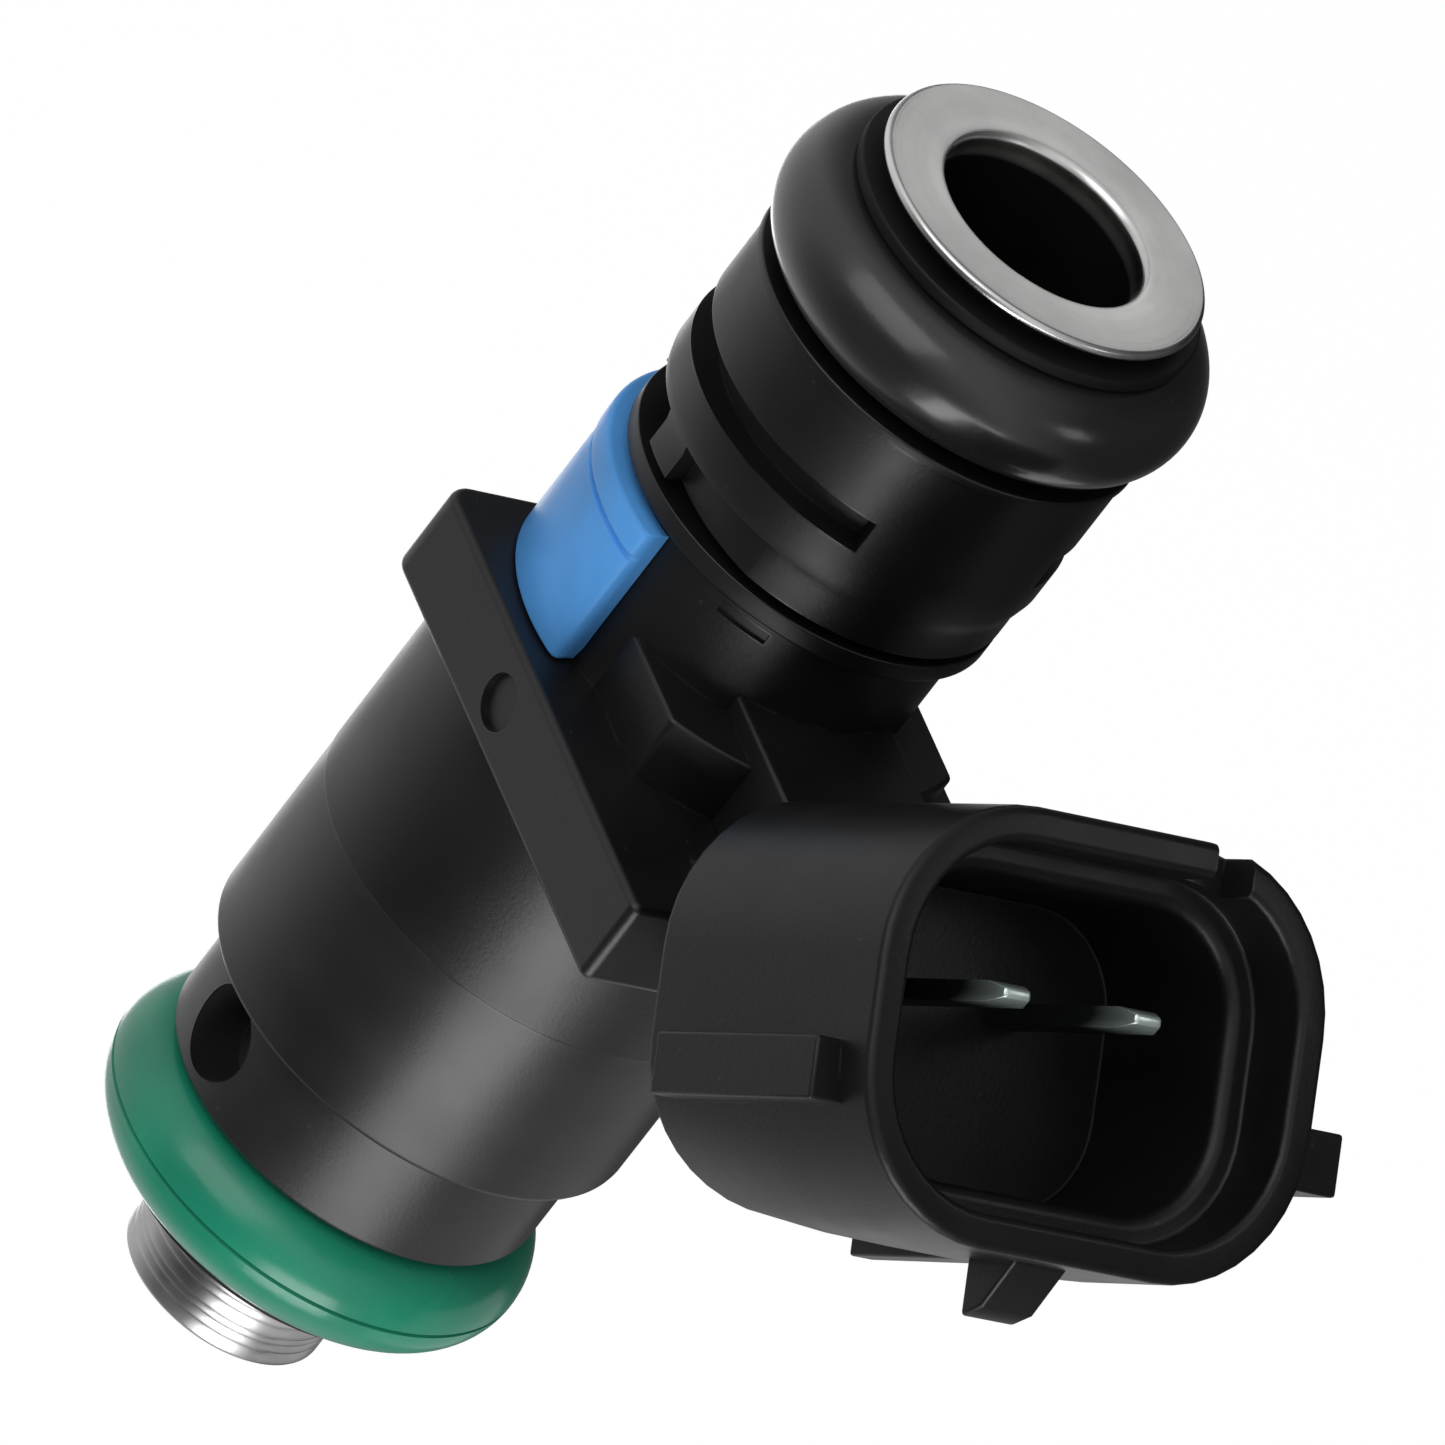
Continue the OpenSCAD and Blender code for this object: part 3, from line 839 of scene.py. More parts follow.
# the inside of the cross hole is darkened with painted shade
BLACK_COLLAR = Finish("black_collar", (0.0125, 0.0118, 0.0125), (0.05, 0.05, 0.05), 0.38, 0.05,
                      grain_scale=8000, grain_depth=0.000004, wear=0.3, specks=0.2,
                      bore_r=6.3 * MM, bore_shade_z=7.0 * MM, bore_shade_colour=(0.001, 0.001, 0.001))
BLACK_HOUSING = Finish("black_housing", (0.0115, 0.0115, 0.012), (0.07, 0.07, 0.07), 0.37, 0.05,
                       grain_scale=12000, grain_depth=0.000003, lines=16000,
                       line_depth=0.000001, wear=0.25, specks=0.2)
BLUE_PLASTIC = Finish("blue_plastic", (0.092, 0.34, 0.78), (0.22, 0.52, 0.92), 0.36, 0.05,
                      grain_scale=6000, grain_depth=0.000004, wear=0.5, specular=0.2)
GREEN_RUBBER = Finish("green_rubber", (0.0105, 0.24, 0.142), (0.06, 0.3, 0.2), 0.23, 0.06,
                      grain_scale=5000, grain_depth=0.000004, specks=0.2, sheen=0.05)
BLACK_RUBBER = Finish("black_rubber", (0.0125, 0.0125, 0.013), (0.05, 0.05, 0.05), 0.25, 0.05,
                      grain_scale=5000, grain_depth=0.000004, specks=0.15, sheen=0.03, coat=0.4)
BLACK_BACKUP = Finish("black_backup", (0.004, 0.004, 0.0042), (0.03, 0.03, 0.03), 0.6, 0.08,
                      grain_scale=6000, grain_depth=0.000006, wear=0.3, specular=0.25)
# the inlet bore below its mouth is darkened with painted shade
STEEL_TUBE = Finish("steel_tube", (0.86, 0.86, 0.85), (0.95, 0.95, 0.94), 0.3, 0.1, 1.0,
                    lines=14000, line_depth=0.000003, wear=0.6, mottle=0.3,
                    bore_r=3.62 * MM, bore_shade_z=40.7 * MM)
TIP_STEEL = Finish("tip_steel", (0.63, 0.62, 0.62), (0.84, 0.84, 0.83), 0.34, 0.1, 1.0,
                   lines=7000, line_depth=0.0000035, wear=0.6, mottle=0.45)
POLISHED_STEEL = Finish("polished_steel", (0.62, 0.62, 0.61), (0.8, 0.8, 0.8), 0.18, 0.06, 1.0,
                        lines=20000, line_depth=0.000001, wear=0.2)
CORE_STEEL = Finish("core_steel", (0.38, 0.38, 0.39), (0.6, 0.6, 0.6), 0.4, 0.08, 1.0,
                    lines=9000, line_depth=0.000003, wear=0.3)
SPRING_STEEL = Finish("spring_steel", (0.42, 0.42, 0.43), (0.6, 0.6, 0.6), 0.28, 0.06, 1.0,
                      grain_scale=9000, grain_depth=0.000002)
FILTER_BRASS = Finish("filter_brass", (0.35, 0.25, 0.11), (0.6, 0.46, 0.22), 0.4, 0.07, 1.0,
                      lines=9000, line_depth=0.000002, wear=0.4)
FILTER_PLASTIC = Finish("filter_plastic", (0.03, 0.06, 0.035), (0.08, 0.14, 0.09), 0.5,
                        grain_scale=7000, grain_depth=0.000006)
FILTER_GAUZE = Finish("filter_gauze", (0.4, 0.37, 0.3), roughness=0.8,
                      grain_scale=14000, grain_depth=0.00003)
BOBBIN_PLASTIC = Finish("bobbin_plastic", (0.55, 0.48, 0.33), roughness=0.5,
                        grain_scale=7000, grain_depth=0.000006)
COPPER_WIRE = Finish("copper_wire", (0.62, 0.22, 0.07), (0.8, 0.4, 0.2), 0.25, 0.05, 1.0,
                     lines=5500, line_depth=0.00005, coat=0.5)
# the blades are darkened with painted shade deeper in the socket, past X 21.8 mm
TINNED_TERMINAL = Finish("tinned_terminal", (0.66, 0.78, 0.73), (0.8, 0.88, 0.84), 0.3, 0.08, 0.7,
                         grain_scale=5000, grain_depth=0.000004, wear=0.5, socket_shade_x=21.8 * MM)
FINISHES = {f.name: f for f in (
    BLACK_PLASTIC, BLACK_CONNECTOR, BLACK_COLLAR, BLACK_HOUSING, BLUE_PLASTIC, GREEN_RUBBER,
    BLACK_RUBBER, BLACK_BACKUP, STEEL_TUBE, TIP_STEEL, POLISHED_STEEL, CORE_STEEL, SPRING_STEEL,
    FILTER_BRASS, FILTER_PLASTIC, FILTER_GAUZE, BOBBIN_PLASTIC, COPPER_WIRE, TINNED_TERMINAL)}


# ---------------------------------------------------------------- sub-assemblies


class SubAssembly:
    """Common ways to finish the pieces of a sub-assembly."""

    def piece(self, name: str, stock: Stock, finish: Finish, nodes: tuple[str, ...],
              smooth: float = 32.0) -> bpy.types.Object:
        """Finishes a stock as a named piece that rides on the injector's body.

        Args:
            name: the piece's name.
            stock: its shape, which is used up.
            finish: its finish.
            nodes: the CAD nodes that it stands for.
            smooth: edges that turn by more degrees than this stay sharp.

        Returns:
            The finished object.
        """
        bm = stock.bm
        open_edges = stock.open_edges()
        if open_edges:
            LOG.warning("%s: %d open edges", name, open_edges)
        bmesh.ops.scale(bm, vec=(MM, MM, MM), verts=bm.verts[:])
        mesh = bpy.data.meshes.new(name)
        bm.to_mesh(mesh)
        bm.free()
        mesh.shade_smooth()
        mesh.set_sharp_from_angle(angle=math.radians(smooth))
        piece = bpy.data.objects.new(name, mesh)
        bpy.context.scene.collection.objects.link(piece)
        mesh.materials.append(finish.material())
        even = piece.modifiers.new("even_normals", "WEIGHTED_NORMAL")
        even.keep_sharp = True
        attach(piece, BODY)
        if nodes:
            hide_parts(*nodes)
        mesh.calc_loop_triangles()
        LOG.info("%s: %d triangles, %s", name, len(mesh.loop_triangles), finish.name)
        return piece


@dataclass
class InletEnd(SubAssembly):
    """The inlet tube with its rolled flange, the upper sealing ring and its backup ring.

    Attributes:
        bore_r: radius of the inlet bore.
        tube_r: outer radius of the tube's upper part.
        low_bore_r: radius of the bore below its step.
        low_r: outer radius of the tube's lower part.
        low_z: height of the tube's lower end.
        neck_z: height where the tube widens.
        step_z: height of the bore's step.
        top_z: height of the flange's face.
        flange_r: radius of the flange.
        flange_t: thickness of the flange.
        ring_z: height of the sealing ring's middle.
        ring_out_r: outer radius of the sealing ring.
        ring_half_z: half the sealing ring's height.
        backup_r: outer radius of the backup ring.
        backup_z: height of the backup ring's underside.
        backup_t: thickness of the backup ring.
    """

    bore_r: float = 3.45
    tube_r: float = 3.8
    low_bore_r: float = 3.05
    low_r: float = 3.55
    low_z: float = 26.2
    neck_z: float = 35.2
    step_z: float = 36.0
    top_z: float = 41.18
    flange_r: float = 5.55
    flange_t: float = 0.34
    ring_z: float = 38.0
    ring_out_r: float = 7.3
    ring_half_z: float = 1.85
    backup_r: float = 5.9
    backup_z: float = 39.9
    backup_t: float = 0.45

    def build(self) -> None:
        """Builds the three pieces."""
        under = self.top_z - self.flange_t
        self.piece("inlet_tube_drawn", Stock.lathe([
            (self.low_bore_r, self.low_z, 0.05), (self.low_r, self.low_z, 0.1),
            (self.low_r, self.neck_z, 0), (self.tube_r, self.neck_z, 0),
            (self.tube_r, under, 0.15), (self.flange_r, under, 0.14),
            (self.flange_r, self.top_z, 0.16), (self.bore_r, self.top_z, 0.35),
            (self.bore_r, self.step_z, 0.05), (self.low_bore_r, self.step_z, 0.05),
        ]), STEEL_TUBE, ("inlet_tube",))
        middle = (self.tube_r + self.ring_out_r) / 2
        self.piece("upper_sealing_ring", Stock.ring(
            middle, self.ring_z, (self.ring_out_r - self.tube_r) / 2, self.ring_half_z,
        ), BLACK_RUBBER, ("upper_oring",))
        top = self.backup_z + self.backup_t
        self.piece("backup_washer", Stock.lathe([
            (self.tube_r, self.backup_z, 0), (self.backup_r, self.backup_z, 0.1),
            (self.backup_r, top, 0.1), (self.tube_r, top, 0),
        ]), BLACK_BACKUP, ("backup_ring",))


@dataclass
class UpperSleeve(SubAssembly):
    """The sleeve with the slot for the rail's clip, and its windows and ramps below.

    The window and the ramp are given on one side, and the other side mirrors them.

    Attributes:
        low_z: height of the lower end.
        top_z: height of the upper end.
        outer_r: outer radius.
        low_r: outer radius beside the windows.
        gap_z: height of the windows' and ramps' lower edge.
        bore_r: radius of the bore.
        top_bore_r: radius of the bore's wide top.
        bore_step_z: height where the bore widens.
        window_top_z: height of the windows' upper edge.
        window_r: radius of the windows' floor.
        window: first and last angle of the window.
        ramp: first and last angle of the ramp.
        ramp_shift: how far the ramp's cylinder lies off the axis.
        wall_slope: how far the ramp's upper wall leans for each millimetre of depth.
        chamfer_h: half the height of the slope from low_r to outer_r.
        slot_z: height of the slot's lower wall.
        slot_w: width of the slot.
        slot_r: radius of the slot's floor.
        slot_end: angle from the connector's side at which the slot ends.
        rib_out: how far the top rib stands out.
        rib_h: height of the top rib.
        edge: rounding of the outer edges.
    """

    low_z: float = 28.6
    top_z: float = 36.0
    outer_r: float = 6.6
    low_r: float = 6.4
    gap_z: float = 28.95
    bore_r: float = 3.55
    top_bore_r: float = 3.8
    bore_step_z: float = 35.2
    window_top_z: float = 30.3
    window_r: float = 5.3
    window: tuple[float, float] = (99.0, 140.0)
    ramp: tuple[float, float] = (45.0, 85.0)
    ramp_shift: float = 1.24
    wall_slope: float = 0.45
    chamfer_h: float = 0.4
    slot_z: float = 31.85
    slot_w: float = 1.2
    slot_r: float = 5.6
    slot_end: float = 30.5
    rib_out: float = 0.1
    rib_h: float = 0.35
    edge: float = 0.06

    def ramp_radius(self, angle: float) -> float:
        """Finds the ramp's radius: a cylinder shifted towards the ramp's shallow end.

        Args:
            angle: the angle in degrees.

        Returns:
            The radius.
        """
        a = math.radians(angle - (self.ramp[0] - 90))
        return (self.ramp_shift * math.cos(a)
                + math.sqrt(self.outer_r**2 - (self.ramp_shift * math.sin(a))**2))

    def build(self) -> None:
        """Turns the sleeve, sinks its windows, ramps and slot, and rounds its edges."""
        rib_z = self.top_z - self.rib_h
        slot_top = self.slot_z + self.slot_w
        sleeve = Stock.lathe([
            (self.bore_r, self.low_z, 0), (self.window_r, self.low_z, 0),
            (self.window_r, self.gap_z, 0), (self.low_r, self.gap_z, 0),
            (self.low_r, self.window_top_z - self.chamfer_h, 0),
            ((self.low_r + self.outer_r) / 2, self.window_top_z, 0),
            (self.outer_r, self.window_top_z + self.chamfer_h, 0),
            (self.outer_r, self.slot_z, 0), (self.outer_r, slot_top, 0),
            (self.outer_r, rib_z, 0), (self.outer_r + self.rib_out, rib_z + 0.05, 0),
            (self.outer_r + self.rib_out, self.top_z, 0.08), (self.top_bore_r, self.top_z, 0),
            (self.top_bore_r, self.bore_step_z, 0), (self.bore_r, self.bore_step_z, 0),
        ], steps=360)
        outside = self.window_r + 0.2
        sleeve.pocket(self.slot_z, slot_top, self.slot_end, 360 - self.slot_end,
                      lambda angle: self.slot_r, outside)
        for first, last in (self.window, (360 - self.window[1], 360 - self.window[0])):
            sleeve.pocket(self.gap_z, self.window_top_z, first, last,
                          lambda angle: self.window_r, outside)
        sleeve.pocket(self.gap_z, self.window_top_z, *self.ramp,
                      self.ramp_radius, outside, self.wall_slope)
        sleeve.pocket(self.gap_z, self.window_top_z, 360 - self.ramp[1], 360 - self.ramp[0],
                      lambda angle: self.ramp_radius(360 - angle), outside, self.wall_slope)
        sleeve.soften(self.edge,
                      lambda p: p.xy.length > outside and p.z > self.low_z + NEAR, 2, 50)
        self.piece("clip_sleeve", sleeve, BLACK_PLASTIC, ("upper_sleeve",))


@dataclass
class BlueBand(SubAssembly):
    """The blue clip round the neck, open towards the connector.

    Attributes:
        inner_r: inner radius.
        outer_r: outer radius.
        low_z: height of the lower edge.
        top_z: height of the upper edge.
        groove_z: height of the groove's lower edge.
        groove_w: width of the groove.
        groove_depth: depth of the groove.
        lip: how far the band stands out above the groove.
        ends: how far each end lies from the connector's side, in degrees.
        end_round: rounding of the ends.
        corner_round: rounding of the ends' lower corners.
        end_slant: how far the ends' lower edge rises towards the inside.
        slant_h: height within which it rises.
    """

    inner_r: float = 5.9
    outer_r: float = 6.8
    low_z: float = 22.2
    top_z: float = 27.6
    groove_z: float = 26.42
    groove_w: float = 0.22
    groove_depth: float = 0.12
    lip: float = 0.08
    ends: tuple[float, float] = (75.0, 80.0)
    end_round: float = 0.4
    corner_round: float = 0.2
    end_slant: float = 0.45
    slant_h: float = 1.0

    def ease(self, along: float, radius: float) -> float:
        """Finds how far a quarter-round has dropped near the band's end.

        Args:
            along: distance from the end.
            radius: the quarter-round's radius.

        Returns:
            How far it drops there.
        """
        if along >= radius:
            return 0.0
        return radius - math.sqrt(max(0.0, radius**2 - (radius - along)**2))

    def build(self) -> None:
        """Turns the band through its arc and rounds its ends."""
        near, far = self.ends
        groove = self.outer_r - self.groove_depth
        band = Stock.lathe([
            (self.inner_r, self.low_z, 0), (self.outer_r, self.low_z, 0.12),
            (self.outer_r, self.groove_z, 0.03), (groove, self.groove_z + 0.05, 0),
            (groove, self.groove_z + self.groove_w, 0),
            (self.outer_r + self.lip, self.groove_z + self.groove_w + 0.05, 0.05),
            (self.outer_r + self.lip, self.top_z, 0.2), (self.inner_r, self.top_z, 0.08),
        ], start=far, sweep=360 - near - far, steps=312)
        wall = self.outer_r - self.inner_r
        for vert in band.bm.verts:
            angle = math.degrees(math.atan2(vert.co.y, vert.co.x)) % 360
            along = math.radians(min(angle - far, 360 - near - angle)) * self.outer_r
            radius = vert.co.xy.length
            share = (radius - self.inner_r) / wall
            thinner = self.ease(along, self.end_round) * share
            vert.co.xy *= (radius - thinner) / radius
            low = max(0.0, 1 - (vert.co.z - self.low_z) / self.corner_round)
            vert.co.z += self.ease(along, self.corner_round) * low
            if along < NEAR:
                near_foot = max(0.0, 1 - (vert.co.z - self.low_z) / self.slant_h)
                vert.co.z += self.end_slant * (1 - share) * near_foot
        band.clean()
        self.piece("blue_band", band, BLUE_PLASTIC, ("blue_clip",), 40)


@dataclass
class Socket(SubAssembly):
    """The oval connector and its two terminals.

    Its own frame starts at the middle of the mouth, with Z out of it, Y across and X down.
    Every size but the blades' run and drop is in that frame.

    Attributes:
        tilt: how far the connector points up from level, in degrees.
        mouth: middle of the mouth in the injector's frame.
        height: size of the shell along X.
        width: size of the shell along Y.
        length: size of the shell along Z.
        corner: radius of the shell's corners.
        rim: width of the rim.
        counterbore: depth of the ledge inside the rim.
        ledge: width of the ledge.
        depth: depth of the cavity's floor.
        heel_start: depth at which the underside starts to rise.
        heel_rise: how far it has risen at the back.
        heel_curve: how late it rises, where 1 is evenly.
        rim_round: rounding of the rim.
        ledge_round: rounding of the ledge's inner edge.
        ledge_edge: rounding of the ledge's outer edge.
        floor_round: rounding round the cavity's floor.
        back_round: rounding of the back.
        rail_x: X of the side rails' middle.
        rail_h: size of the rails along X.
        rail_back: depth of the rails' back ends.
        rail_out: how far the left and the right rail stand out.
        rail_front: depth of the left and the right rail's front end.
        rail_root: how deep the rails are set into the shell.
        latch_w: width of the latch wedge.
        latch_out: how far it stands out at its back.
        latch_slope: how much less it stands out at its tip.
        latch: depths of its front, its tip and its back.
        latch_root: how deep it is set into the shell.
        keel: lowest and highest X, then lowest and highest Z of the keel.
        keel_w: width of the keel.
        notch_y: Y of the key notch's middle.
        notch_w: width of the notch.
        notch_depth: depth of the notch.
        rail_edge: rounding of the rails' edges.
        latch_edge: rounding of the latch's edges.
        keel_edge: rounding of the keel's edges.
        blade_pitch: distance between the terminals' middles.
        blade_x: X of the terminals' middle.
        blade_t: thickness of a terminal.
        blade_w: width of a terminal.
        blade_tip: depth of a terminal's tip.
        blade_taper: length of the tip's taper.
        blade_thin: thickness of the tip, as a share of the terminal's.
        blade_narrow: width of the tip, as a share of the terminal's.
        blade_edge: rounding of a terminal's edges.
        run_z: height of the terminals' level run.
        drop_x: X of their drop to the coil.
        drop_z: height of their lower ends.
    """

    tilt: float = 46.0
    mouth: Point = (23.18, 0.0, 29.8)
    height: float = 13.08
    width: float = 16.6
    length: float = 10.9
    corner: float = 5.07
    rim: float = 1.07
    counterbore: float = 2.2
    ledge: float = 0.9
    depth: float = 8.1
    heel_start: float = 4.5
    heel_rise: float = 0.85
    heel_curve: float = 1.3
    rim_round: float = 0.27
    ledge_round: float = 0.45
    ledge_edge: float = 0.14
    floor_round: float = 0.12
    back_round: float = 0.35
    rail_x: float = 2.1
    rail_h: float = 1.9
    rail_back: float = 9.2
    rail_out: tuple[float, float] = (0.9, 1.15)
    rail_front: tuple[float, float] = (1.4, 0.05)
    rail_root: float = 1.0
    latch_w: float = 2.0
    latch_out: float = 1.7
    latch_slope: float = 0.3
    latch: tuple[float, float, float] = (1.35, 2.7, 3.65)
    latch_root: float = 0.6
    keel: tuple[float, float, float, float] = (5.0, 6.5, -10.1, -3.6)
    keel_w: float = 0.9
    notch_y: float = 4.1
    notch_w: float = 1.4
    notch_depth: float = 1.5
    rail_edge: float = 0.12
    latch_edge: float = 0.14
    keel_edge: float = 0.1
    blade_pitch: float = 4.9
    blade_x: float = -1.1
    blade_t: float = 0.64
    blade_w: float = 1.5
    blade_tip: float = 1.0
    blade_taper: float = 0.6
    blade_thin: float = 0.45
    blade_narrow: float = 0.6
    blade_edge: float = 0.09
    run_z: float = 20.6
    drop_x: float = 5.0
    drop_z: float = 17.2

    @property
    def frame(self) -> Matrix:
        """Where the connector's frame is in the injector's frame."""
        return Matrix.Translation(self.mouth) @ Matrix.Rotation(
            math.radians(90 - self.tilt), 4, "Y")

    def shell(self) -> Stock:
        """Shapes the shell: an oval block, tapered at the heel, hollowed from its mouth.

        Returns:
            The shell in its own frame.
        """
        shell = Stock.rounded_slab(self.height, self.width, self.corner, self.length)
        shell.move((0, 0, -self.length))
        bm = shell.bm
        for cut in (self.heel_start, (self.heel_start + self.length) / 2):
            bmesh.ops.bisect_plane(bm, geom=bm.verts[:] + bm.edges[:] + bm.faces[:],
                                   dist=ON_PLANE, plane_co=(0, 0, -cut), plane_no=Z_AXIS)
        for vert in bm.verts:
            back = (-vert.co.z - self.heel_start) / (self.length - self.heel_start)
            if back > 0 and vert.co.x > 0:
                vert.co.x *= 1 - back**self.heel_curve * self.heel_rise / (self.height / 2)
        front = max(bm.faces, key=lambda f: f.calc_center_median().z)
        for inset, drop in ((self.rim, self.counterbore),
                            (self.ledge, self.depth - self.counterbore)):
            bmesh.ops.inset_region(bm, faces=[front], thickness=inset, depth=0,
                                   use_boundary=True, use_even_offset=True)
            grown = bmesh.ops.extrude_discrete_faces(bm, faces=[front])
            front = grown["faces"][0]
            bmesh.ops.translate(bm, vec=(0, 0, -drop), verts=front.verts[:])
        shell.clean()
        shell.soften(self.floor_round,
                     lambda p: abs(p.z + self.depth) < NEAR and self.in_cavity(p), 2)
        shell.soften(self.rim_round, lambda p: abs(p.z) < NEAR, 5)
        shell.soften(self.ledge_round,
                     lambda p: abs(p.z + self.counterbore) < NEAR and self.in_cavity(p), 5)
        shell.soften(self.ledge_edge, lambda p: abs(p.z + self.counterbore) < NEAR, 3)
        shell.soften(self.back_round, lambda p: abs(p.z + self.length) < NEAR, 4)
        return shell

    def in_cavity(self, point: Vector) -> bool:
        """Tests whether a point lies within the cavity's oval, or on its wall.

        Args:
            point: the point in the connector's frame.

        Returns:
            True if it does.
        """
        wall = self.rim + self.ledge
        arc = self.corner - wall
        dx = max(0.0, abs(point.x) - (self.height / 2 - wall - arc))
        dy = max(0.0, abs(point.y) - (self.width / 2 - wall - arc))
        return math.hypot(dx, dy) < arc + self.ledge / 3

    def fittings(self, shell: Stock) -> Stock:
        """Adds the rails, the latch wedge and the keel to the shell, and cuts the key notch.

        Args:
            shell: the shell in its own frame.

        Returns:
            The shell with its fittings.
        """
        half = self.width / 2
        low_x, high_x = self.rail_x - self.rail_h / 2, self.rail_x + self.rail_h / 2
        left = Stock.block((low_x, -half - self.rail_out[0], -self.rail_back),
                           (high_x, -half + self.rail_root, -self.rail_front[0]))
        right = Stock.block((low_x, half - self.rail_root, -self.rail_back),
                            (high_x, half + self.rail_out[1], -self.rail_front[1]))
        for rail in (left, right):
            rail.soften(self.rail_edge, None, 3)
            shell.unite(rail)
        bottom = self.height / 2
        root = bottom - self.latch_root
        front, tip, back = self.latch
        wedge = Stock.prism([
            (root, -front, 0), (root, -back, 0), (bottom + self.latch_out, -back, 0),
            (bottom + self.latch_out - self.latch_slope, -tip, 0), (bottom, -front, 0),
        ], self.latch_w)
        wedge.soften(self.latch_edge, None, 3)
        wedge.lay().move((0, self.latch_w / 2, 0))
        shell.unite(wedge)
        low, high, back, front = self.keel
        keel = Stock.block((low, -self.keel_w / 2, back), (high, self.keel_w / 2, front))
        shell.unite(keel.soften(self.keel_edge, None, 3))
        top = -self.height / 2
        notch = Stock.block((top - 1, self.notch_y - self.notch_w / 2, -self.notch_depth),
                            (top + self.rim + 0.5, self.notch_y + self.notch_w / 2, 1))
        shell.cut(notch)
        return shell

    def blade(self, side: int) -> Stock:
        """Bends one terminal out of flat strip.

        Args:
            side: -1 for the left terminal and 1 for the right one.

        Returns:
            The terminal in the injector's frame.
        """
        half = self.blade_t / 2
        t = math.radians(self.tilt)
        out = Vector((math.cos(t), math.sin(t)))
        up = Vector((-math.sin(t), math.cos(t)))
        centre = Vector((self.mouth[0], self.mouth[2])) - up * self.blade_x
        reach = (centre.y - self.run_z) / math.sin(t)
        bend = centre - out * reach
        tip = centre - out * self.blade_tip
        taper = tip - out * self.blade_taper
        miter = half * math.tan(t / 2)
        outline = [
            (self.drop_x - half, self.drop_z), (self.drop_x + half, self.drop_z),
            (self.drop_x + half, self.run_z - half), (bend.x + miter, self.run_z - half),
            tuple(taper - up * half), tuple(tip - up * half * self.blade_thin),
            tuple(tip + up * half * self.blade_thin), tuple(taper + up * half),
            (bend.x - miter, self.run_z + half), (self.drop_x - half, self.run_z + half),
        ]
        strip = Stock.prism([(x, z, 0) for x, z in outline], self.blade_w)
        strip.lay().move((0, side * self.blade_pitch / 2 + self.blade_w / 2, 0))
        tip_at = Vector((tip.x, 0, tip.y))
        for vert in strip.bm.verts:
            if (vert.co - tip_at).dot(Vector((out.x, 0, out.y))) > -NEAR:
                middle = side * self.blade_pitch / 2
                vert.co.y = middle + (vert.co.y - middle) * self.blade_narrow
        return strip.soften(self.blade_edge, None, 3, 20)

    def build(self) -> None:
        """Builds the shell and both terminals."""
        shell = self.fittings(self.shell())
        shell.place(self.frame)
        self.piece("connector_housing", shell, BLACK_CONNECTOR, ("connector_shell",))
        self.piece("terminal_blade_left", self.blade(-1), TINNED_TERMINAL, ("terminal_left",))
        self.piece("terminal_blade_right", self.blade(1), TINNED_TERMINAL, ("terminal_right",))


